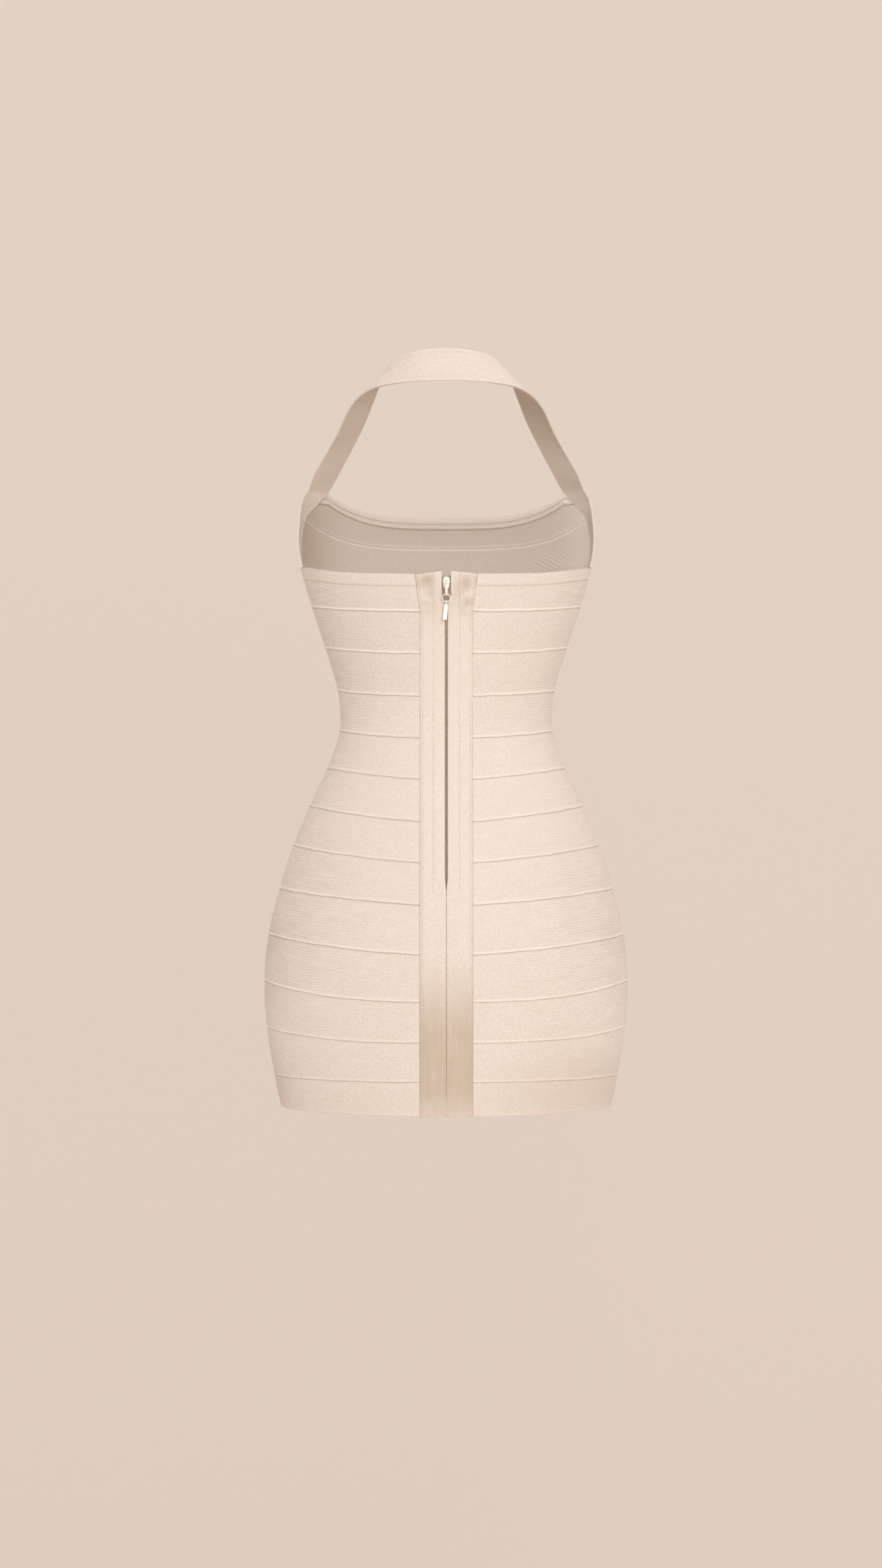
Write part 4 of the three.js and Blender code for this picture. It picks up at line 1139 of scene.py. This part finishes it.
def joined_blobs(name, centres, along, outward, sizes, rings=4):
    """One mesh of many small rounded lozenges. sizes are their length, width and height in mm."""
    sides = 6
    turn = np.linspace(0, 2 * math.pi, sides, endpoint=False)
    lift = np.linspace(-math.pi / 2, math.pi / 2, rings + 2)[1:-1]
    unit = [(-1.0, 0.0, 0.0)]
    unit += [(math.sin(a), math.cos(a) * math.cos(t), math.cos(a) * math.sin(t)) for a in lift for t in turn]
    unit += [(1.0, 0.0, 0.0)]
    unit = np.array(unit)
    faces = [(0, 1 + (i + 1) % sides, 1 + i) for i in range(sides)]
    for ring in range(rings - 1):
        base = 1 + ring * sides
        for i in range(sides):
            j = (i + 1) % sides
            faces.append((base + i, base + j, base + sides + j, base + sides + i))
    end = len(unit) - 1
    base = 1 + (rings - 1) * sides
    faces += [(end, base + i, base + (i + 1) % sides) for i in range(sides)]
    centres, along, outward = (np.asarray(part, dtype=float) for part in (centres, along, outward))
    along = along / np.linalg.norm(along, axis=-1, keepdims=True)
    across = np.cross(along, outward)
    across /= np.linalg.norm(across, axis=-1, keepdims=True)
    outward = np.cross(across, along)
    half = np.asarray(sizes, dtype=float) / 2
    if half.ndim == 1:
        half = np.repeat(half[None, :], len(centres), axis=0)
    points = centres[:, None, :]
    for axis, direction in enumerate((along, across, outward)):
        reach = unit[None, :, axis : axis + 1] * half[:, None, axis : axis + 1]
        points = points + reach * direction[:, None, :]
    all_faces = []
    for index in range(len(centres)):
        offset = index * len(unit)
        all_faces += [tuple(corner + offset for corner in face) for face in faces]
    mesh = bpy.data.meshes.new(name)
    mesh.from_pydata(in_frame(points.reshape(-1, 3)).tolist(), [], all_faces)
    return finished_object(name, mesh, 80)


def sewn_line(angle, z, out, spacing, sizes, lean=0.0, face_side=1):
    """Stitches at even steps along a line on the cloth: their centres, directions, normals and sizes."""
    points, normals = raised_point(angle, z, out), face_side * face_normal(angle, z)
    length = path_length(points)
    at = np.arange(spacing / 2, length[-1], spacing)

    def read(line, places):
        return np.stack([np.interp(places, length, line[:, axis]) for axis in range(3)], axis=-1)

    along = read(points, at + 0.5) - read(points, at - 0.5)
    along /= np.maximum(np.linalg.norm(along, axis=-1, keepdims=True), 1e-6)
    outward = read(normals, at)
    turn = lean * np.where(np.arange(len(at)) % 2 == 0, 1.0, -1.0)[:, None]
    along = along * np.cos(turn) + np.cross(along, outward) * np.sin(turn)
    return read(points, at), along, outward, np.repeat(np.array([sizes], dtype=float), len(at), axis=0)


def stitched(name, slot, runs, look="Sewing thread"):
    """One piece of all the stitches of some sewn lines."""
    piece = joined_blobs(name, *(np.concatenate(part) for part in zip(*runs)))
    dress_piece(piece, slot, [], look)


def build_stitching():
    """Sewn lines: along the placket strips, below the top edge of the back and round the neckline."""
    cloth = bpy.context.scene.dress_cloth
    spacing = cloth.stitch_spacing
    inner_top, inner_bottom = PLACKET_TOP_Z - 2.5, CHAIN_BOTTOM_Z + 2
    outer_z, inner_z = np.linspace(PLACKET_TOP_Z - 1.5, 1.0, 700), np.linspace(inner_top, inner_bottom, 500)
    runs = []
    for side in (-1, 1):
        for z, at_edge in ((outer_z, True), (inner_z, False)):
            inner_x, outer_x = placket_inner_x(z), placket_outer_x(z)
            x = outer_x - OUTER_STITCH_INSET if at_edge else np.full(z.shape, INNER_STITCH_X)
            out = placket_shape((x - inner_x) / (outer_x - inner_x), z, x) + pucker_relief(side, x, z)
            runs.append(sewn_line(side * angle_at_x(x, z), z, out + 0.12, spacing, PLACKET_STITCH))
    stitched("placket_stitches", "placket_knit", runs)

    runs = []
    for side in (-1, 1):
        angle = side * np.linspace(0.235, SIDE - 0.12, 240)
        top = edge_height(BAND_EDGES[0], angle)
        for depth in HEM_STITCH_DEPTHS:
            z = top - SEAM_GAP / 2 - depth
            below, above = top - z, z - edge_height(BAND_EDGES[1], angle)
            out = band_relief(angle, z, below, above, cloth.ridge_height, cloth) + 0.55 * hem_share(angle)
            runs.append(sewn_line(angle, z, out + 0.05, spacing, HEM_STITCH))
    stitched("back_hem_stitches", "bandage_knit", runs)

    for name, face_side, look in (
        ("neckline_stitches", 1, "Sewing thread"),
        ("neckline_stitches_inside", -1, "Sewing thread wrong side shaded"),
    ):
        runs = []
        for depth in NECK_STITCH_DEPTHS:
            first = float(front_span(np.array(NECKLINE["corner"] - depth))[0]) + 0.02
            angle = np.linspace(first, 2 * math.pi - first, 500)
            z = neckline_height(angle) - SEAM_GAP / 2 - depth
            below, above = neckline_height(angle) - z, z - front_seam_height(angle)
            if face_side > 0:
                out = band_relief(angle, z, below, above, cloth.ridge_height, cloth) + 0.5 + 0.02
            else:
                out = np.full(z.shape, -cloth.wall - 0.5 - 0.04)
            line = sewn_line(angle, z, out, NECK_STITCH_SPACING, NECK_STITCH, NECK_STITCH_LEAN, face_side)
            runs.append(line)
        stitched(name, "bandage_knit", runs, look)


def build_zip():
    """The zip behind the placket gap: two tapes, their teeth, the slider, the ring and the bar."""
    build_tapes()
    build_teeth()
    build_slider()
    build_pulls()


def build_tapes():
    """The two woven tapes."""
    heights = np.linspace(TAPE_TOP_Z, TAPE_BOTTOM_Z, 220)
    for side, name in ((-1, "zip_tape_left"), (1, "zip_tape_right")):
        grids = []
        for count, face in ((19, TAPE_FACE_OUT), (5, TAPE_BACK_OUT)):
            x, z = np.meshgrid(TAPE_INNER_X + TAPE_WIDTH * np.linspace(0, 1, count), heights, indexing="ij")
            out = np.full(z.shape, face)
            if face == TAPE_FACE_OUT:
                out = out - 0.06 + 0.05 * bell(x - 2.2, 0.5) - 0.05 * bell(x - 8.6, 0.35)
            points = raised_point(side * angle_at_x(x, z), z, out)
            grids.append((points, np.stack([TAPE_TOP_Z - z, x], axis=-1), {}))
        piece = shell_object(f"woven_{name}", *grids)
        dress_piece(piece, "zip_tape", [name], "Zip tape", "Zip tape")


def build_teeth():
    """Teeth of the two halves of the chain: meshed below the slider and spread apart above it."""
    pitch = bpy.context.scene.dress_zip.tooth_pitch
    centres, along, outward = [], [], []
    for side in (-1, 1):
        z = np.arange(CHAIN_BOTTOM_Z + 1.0, TAPE_TOP_Z - 1.0, pitch) + (pitch / 2 if side > 0 else 0)
        apart = 0.62 + 3.0 * smoothstep(z, 502, 513)
        angle = side * angle_at_x(apart, z)
        centres.append(raised_point(angle, z, np.full(z.shape, -1.5)))
        along.append(np.repeat(np.array([[1.0, 0.0, 0.0]]), len(z), axis=0))
        outward.append(face_normal(angle, z))
    parts = [np.concatenate(part) for part in (centres, along, outward)]
    piece = joined_blobs("zip_teeth", *parts, (1.5, pitch * 0.62, 1.15), rings=3)
    dress_piece(piece, "zip_tape", [], "Zip teeth")


def cut_plate(name, outline, holes, thickness, bevel):
    """A plate with rounded edges from an outline and round holes, given in millimetres in its own plane."""
    curve = bpy.data.curves.new(name, "CURVE")
    curve.dimensions = "2D"
    curve.fill_mode = "BOTH"
    curve.extrude = (thickness / 2 - bevel) * MM
    curve.bevel_depth = bevel * MM
    curve.bevel_resolution = 3
    curve.offset = -bevel * MM
    loops = [outline]
    for centre_x, centre_y, radius in holes:
        turn = np.linspace(0, 2 * math.pi, 28, endpoint=False)
        loops.append([(centre_x + radius * math.cos(a), centre_y + radius * math.sin(a)) for a in turn])
    for loop in loops:
        spline = curve.splines.new("POLY")
        spline.points.add(len(loop) - 1)
        for point, (x, y) in zip(spline.points, loop):
            point.co = (x * MM, y * MM, 0.0, 1.0)
        spline.use_cyclic_u = True
    drawn = bpy.data.objects.new(name, curve)
    bpy.context.scene.collection.objects.link(drawn)
    bpy.context.view_layer.update()
    mesh = bpy.data.meshes.new_from_object(drawn, depsgraph=bpy.context.evaluated_depsgraph_get())
    bpy.data.objects.remove(drawn)
    bpy.data.curves.remove(curve)
    return mesh


def rounded(corners, radius):
    """A closed outline with its corners rounded off."""
    outline, steps = [], 5
    count = len(corners)
    for index in range(count):
        before, at, after = (np.array(corners[(index + step) % count], dtype=float) for step in (-1, 0, 1))
        cut = min(radius, 0.45 * np.linalg.norm(at - before), 0.45 * np.linalg.norm(at - after))
        start = at + (before - at) / np.linalg.norm(before - at) * cut
        end = at + (after - at) / np.linalg.norm(after - at) * cut
        for t in (step / steps for step in range(steps + 1)):
            outline.append(tuple((1 - t) ** 2 * start + 2 * t * (1 - t) * at + t * t * end))
    return outline


def mirrored(right):
    """A closed outline from its half at +X, listed from the top down."""
    left = [(-x, z) for x, z in right]
    return left[:1] + right + left[:0:-1]


def moved_points(mesh, change):
    points = np.empty(len(mesh.vertices) * 3, dtype=np.float32)
    mesh.vertices.foreach_get("co", points)
    moved = np.asarray(change(points.reshape(-1, 3) / MM), dtype=float)
    mesh.vertices.foreach_set("co", (moved * MM).astype(np.float32).ravel())
    return mesh


def facing_back(mesh, y):
    """Stands a plate up so that it faces the back, with its middle at y."""
    return moved_points(mesh, lambda p: np.stack([p[:, 0], y - p[:, 2], p[:, 1]], axis=-1))


def facing_side(mesh):
    """Stands a plate up so that it faces the side."""
    return moved_points(mesh, lambda p: np.stack([p[:, 2], p[:, 0], p[:, 1]], axis=-1))


def joined_meshes(name, meshes):
    points, faces, offset = [], [], 0
    for mesh in meshes:
        points += [tuple(vertex.co) for vertex in mesh.vertices]
        faces += [tuple(corner + offset for corner in polygon.vertices) for polygon in mesh.polygons]
        offset = len(points)
        bpy.data.meshes.remove(mesh)
    mesh = bpy.data.meshes.new(name)
    mesh.from_pydata(points, [], faces)
    return mesh


def torus_mesh(name, ring, wire, turns=48, sides=14):
    """A ring in the plane of x and z, round the origin, in millimetres."""
    around, tube = (np.linspace(0, 2 * math.pi, count, endpoint=False) for count in (turns, sides))
    radius = ring + wire * np.cos(tube)[None, :]
    x, z = radius * np.cos(around)[:, None], radius * np.sin(around)[:, None]
    y = np.repeat(wire * np.sin(tube)[None, :], turns, axis=0)
    faces = []
    for i in range(turns):
        for j in range(sides):
            k, m = (i + 1) % turns, (j + 1) % sides
            faces.append((i * sides + j, i * sides + m, k * sides + m, k * sides + j))
    mesh = bpy.data.meshes.new(name)
    mesh.from_pydata((np.stack([x, y, z], axis=-1).reshape(-1, 3) * MM).tolist(), [], faces)
    return mesh


def pull_axis_y():
    return float(face_point(np.array(0.0), np.array(PULL_AXIS_Z))[1]) - PULL_AXIS_OUT


def build_slider():
    """The slider: a crown plate and a back plate with a wedge between them, and the ring's bail."""
    face_y = float(face_point(np.array(0.0), np.array(SLIDER_TOP_Z - SLIDER_LENGTH / 2))[1])
    half, waist = SLIDER_WIDTH / 2, SLIDER_WIDTH / 2 * 0.72
    top, foot = SLIDER_TOP_Z, SLIDER_TOP_Z - SLIDER_LENGTH
    plate = mirrored([(half * 0.62, top), (half, top - 2.4), (waist, foot + 0.9), (waist - 0.9, foot)])
    meshes = []
    for middle, thickness, narrow in ((face_y - 1.25, 1.3, 0.74), (face_y + 0.85, 0.9, 1.0)):
        outline = [(x * narrow, z) for x, z in rounded(plate, 1.2)]
        meshes.append(facing_back(cut_plate("plate", outline, [], thickness, 0.3), middle))
    between_plates = face_y - 0.2
    wedge = mirrored([(1.2, top - 0.6), (1.5, top - 3), (0.7, foot + 3)])
    meshes.append(facing_back(cut_plate("wedge", rounded(wedge, 0.6), [], 2.2, 0.15), between_plates))
    for side in (-1, 1):
        flange = [(side * (half - 0.75), top - 3), (side * (half - 0.1), top - 3.2)]
        flange += [(side * waist, foot + 1), (side * (waist - 0.65), foot + 1)]
        meshes.append(facing_back(cut_plate("flange", rounded(flange, 0.25), [], 2.0, 0.12), between_plates))
    axis_y, bend = pull_axis_y(), 1.95
    arch = [(face_y - 1.2, top - 2.6), (axis_y - 0.4, top - 3.3), (axis_y - 1.9, top - 5.2)]
    arch.append((axis_y - bend, PULL_AXIS_Z))
    for a in np.linspace(-math.pi, 0, 13)[1:-1]:
        arch.append((axis_y + bend * math.cos(a), PULL_AXIS_Z + bend * math.sin(a)))
    arch += [(axis_y + bend, foot + 1.6), (face_y - 1.2, foot + 1.6)]
    meshes.append(facing_side(cut_plate("bail", arch, [(axis_y, PULL_AXIS_Z, EYE_RADIUS)], 2.5, 0.45)))
    mesh = joined_meshes("slider_metal", meshes)
    mesh.transform(offset_matrix())
    dress_piece(finished_object("slider_metal", mesh, 40), "zip_metal", ["zip_slider"], "Zip enamel")


def offset_matrix(x=0.0, y=0.0, z=0.0):
    """Moves a mesh made round its own origin to a garment point given in millimetres."""
    return Matrix.Translation(Vector(in_frame((x, y, z))))


def build_pulls():
    """The round wire ring on the bail, and the flat bar that hangs from it by its own eye."""
    axis_y = pull_axis_y()
    ring = torus_mesh("pull_ring_metal", RING_RADIUS, RING_WIRE)
    ring.transform(offset_matrix(0, axis_y, PULL_AXIS_Z - RING_RADIUS))
    piece = finished_object("pull_ring_metal", ring, 60)
    dress_piece(piece, "zip_metal", ["zip_pull_ring"], "Zip enamel", body="pull_ring")
    blade = mirrored([(1.05, -1.35), (BAR_WIDTH / 2, -3.6), (BAR_WIDTH / 2, -BAR_LENGTH)])
    plate = facing_back(cut_plate("blade", rounded(blade, 0.9), [], 1.6, 0.42), 0.0)
    turn = np.linspace(0, 2 * math.pi, 32, endpoint=False)
    rim = [(RIM_RADIUS * math.cos(a), RIM_RADIUS * math.sin(a)) for a in turn]
    eye = facing_side(cut_plate("eye", rim, [(0, 0, EYE_RADIUS)], 2.2, 0.3))
    bar = joined_meshes("pull_bar_metal", [plate, eye])
    bar.transform(offset_matrix(0, axis_y, PULL_AXIS_Z - 2 * RING_RADIUS) @ Matrix.Rotation(BAR_LEAN, 4, "Y"))
    piece = finished_object("pull_bar_metal", bar, 40)
    dress_piece(piece, "zip_metal", ["zip_pull_bar"], "Zip enamel", body="pull_bar")


def build_stage():
    """A pale floor that turns up into a backdrop, soft studio lights and the camera at the photo's angle."""
    scene = bpy.context.scene
    look = scene.dress_stage
    profile = [(-STAGE_REACH, FLOOR_Z)]
    for a in np.linspace(0, math.pi / 2, 22):
        across, up = BEND_RADIUS * math.sin(a), BEND_RADIUS * math.cos(a)
        profile.append((WALL_Y - BEND_RADIUS + across, FLOOR_Z + BEND_RADIUS - up))
    profile.append((WALL_Y, WALL_TOP_Z))
    points = [(x, y, z) for x in (-STAGE_REACH, STAGE_REACH) for y, z in profile]
    count = len(profile)
    mesh = bpy.data.meshes.new("backdrop")
    mesh.from_pydata(points, [], [(i, i + count, i + count + 1, i + 1) for i in range(count - 1)])
    mesh.shade_smooth()
    backdrop = bpy.data.objects.new("backdrop", mesh)
    scene.collection.objects.link(backdrop)
    paper = tuple(look.backdrop_colour)
    mesh.materials.append(plain_material("Backdrop paper", paper, paper, 60, 0.92, 0.0001))

    softbox = bpy.data.lights.new("Softbox", "SUN")
    softbox.energy = look.key_strength
    softbox.angle = math.radians(look.key_spread)
    key = bpy.data.objects.new("Softbox", softbox)
    key.location = KEY_FROM
    key.rotation_euler = Vector(KEY_FROM).to_track_quat("Z", "Y").to_euler()
    scene.collection.objects.link(key)
    scene.world = bpy.data.worlds.new("Studio")
    scene.world.use_nodes = True
    background = scene.world.node_tree.nodes["Background"]
    background.inputs["Color"].default_value = (*look.ambient_colour, 1.0)
    background.inputs["Strength"].default_value = look.ambient_strength
    scene.view_settings.view_transform = "Standard"

    camera = bpy.data.cameras.new("Camera")
    camera.sensor_fit = "VERTICAL"
    camera.sensor_height = CAMERA_SENSOR
    camera.lens = CAMERA_LENS
    camera.clip_end = 100.0
    eye = bpy.data.objects.new("Camera", camera)
    eye.location = CAMERA_PLACE
    eye.rotation_euler = (math.pi / 2, 0.0, 0.0)
    scene.collection.objects.link(eye)
    scene.camera = eye


def colour_setting(label, text, value):
    return bpy.props.FloatVectorProperty(
        name=label, description=text, default=value, size=3, subtype="COLOR", min=0, max=1
    )


def number_setting(label, text, value, low, high, subtype="NONE"):
    return bpy.props.FloatProperty(
        name=label, description=text, default=value, min=low, max=high, subtype=subtype
    )


class DressClothSettings(bpy.types.PropertyGroup):
    wall: number_setting("Wall", "Thickness of the knit in mm", 1.8, 1.0, 2.6)
    ridge_height: number_setting("Seam ridge", "Height in mm of the ridge above each seam", 0.95, 0, 1.5)
    band_crown: number_setting("Band crown", "How far a band swells between its seams, in mm", 0.35, 0, 1)
    crease_height: number_setting("Crease strength", "Factor on the creases' depth", 1.0, 0, 2, "FACTOR")
    course_pitch: number_setting("Course pitch", "Distance between two ridges of the knit in mm", 2.6, 1.2, 4)
    stitch_spacing: number_setting("Stitch spacing", "Distance between two stitches in mm", 2.8, 1.5, 5)
    stretch_round: number_setting("Stretch", "Worn width over flat width", 1.08, 1, 1.4, "FACTOR")
    face_colour: colour_setting("Knit", "Colour of the knit's right side", linear(250, 237, 225))
    # The shade colour is also the painted shade in the courses' grooves
    shade_colour: colour_setting("Knit shade", "Darker tone in the knit's mottling", linear(229, 210, 194))
    # The blush colour also serves as painted shade at the sides, hem and placket puckers
    blush_and_shade_colour: colour_setting("Knit blush", "Warmer tone at sides and placket", linear(211, 189, 169))
    # The wrong side colour is darker partly as painted shade of the dress's inside
    wrong_side_shaded_colour: colour_setting("Wrong side", "Colour of the knit's wrong side", linear(219, 203, 188))


class DressZipSettings(bpy.types.PropertyGroup):
    tooth_pitch: number_setting("Tooth pitch", "Distance between two teeth of one side in mm", 1.25, 0.8, 3)
    enamel_colour: colour_setting("Enamel", "Colour of the slider, ring and bar", linear(241, 231, 217))


class DressStageSettings(bpy.types.PropertyGroup):
    backdrop_colour: colour_setting("Backdrop", "Colour of the floor and backdrop", linear(221, 208, 196))
    ambient_colour: colour_setting("Ambient", "Colour of the light from all round", (1.0, 1.0, 1.0))
    ambient_strength: number_setting("Ambient strength", "Strength of the light from all round", 0.75, 0, 3)
    key_strength: number_setting("Key", "Strength of the soft key light", 1.1, 0, 10)
    key_spread: number_setting("Key spread", "Angle over which the key light spreads, in degrees", 34, 1, 90)


def piece_operator(name, label, build):
    """An operator class that runs one build function."""

    def execute(self, context):
        build()
        return {"FINISHED"}

    words = {"bl_idname": f"dress.{name}", "bl_label": label, "__doc__": build.__doc__, "execute": execute}
    return type(f"DRESS_OT_{name}", (bpy.types.Operator,), words)


OPERATORS = (
    piece_operator("build_bands", "Bands", build_bands),
    piece_operator("build_front", "Bust strips", build_front),
    piece_operator("build_strap", "Halter strap", build_strap),
    piece_operator("build_placket", "Placket strips", build_placket),
    piece_operator("build_zip", "Zip", build_zip),
    piece_operator("build_stitching", "Stitching", build_stitching),
    piece_operator("build_stage", "Stage", build_stage),
)


class DRESS_PT_sidebar(bpy.types.Panel):
    """Lists the dress's pieces and their settings in the sidebar of the 3D view."""

    bl_label = "Bandage Knit Dress"
    bl_space_type = "VIEW_3D"
    bl_region_type = "UI"
    bl_category = "Dress"

    def draw(self, context):
        layout = self.layout
        for operator in OPERATORS:
            layout.operator(operator.bl_idname)
        for label in ("dress_cloth", "dress_zip", "dress_stage"):
            settings = getattr(context.scene, label)
            box = layout.box()
            for name in settings.bl_rna.properties.keys():
                if name not in {"rna_type", "name"}:
                    box.prop(settings, name)


SETTINGS = {
    "dress_cloth": DressClothSettings,
    "dress_zip": DressZipSettings,
    "dress_stage": DressStageSettings,
}


def register():
    for group in SETTINGS.values():
        bpy.utils.register_class(group)
    for name, group in SETTINGS.items():
        setattr(bpy.types.Scene, name, bpy.props.PointerProperty(type=group))
    for cls in (*OPERATORS, DRESS_PT_sidebar):
        bpy.utils.register_class(cls)


def unregister():
    for cls in reversed((*OPERATORS, DRESS_PT_sidebar)):
        bpy.utils.unregister_class(cls)
    for name in reversed(SETTINGS):
        delattr(bpy.types.Scene, name)
    for group in reversed(SETTINGS.values()):
        bpy.utils.unregister_class(group)


def main():
    register()
    bpy.ops.dress.build_bands()
    bpy.ops.dress.build_front()
    bpy.ops.dress.build_strap()
    bpy.ops.dress.build_placket()
    bpy.ops.dress.build_zip()
    bpy.ops.dress.build_stitching()
    bpy.ops.dress.build_stage()


if __name__ == "__main__":
    main()
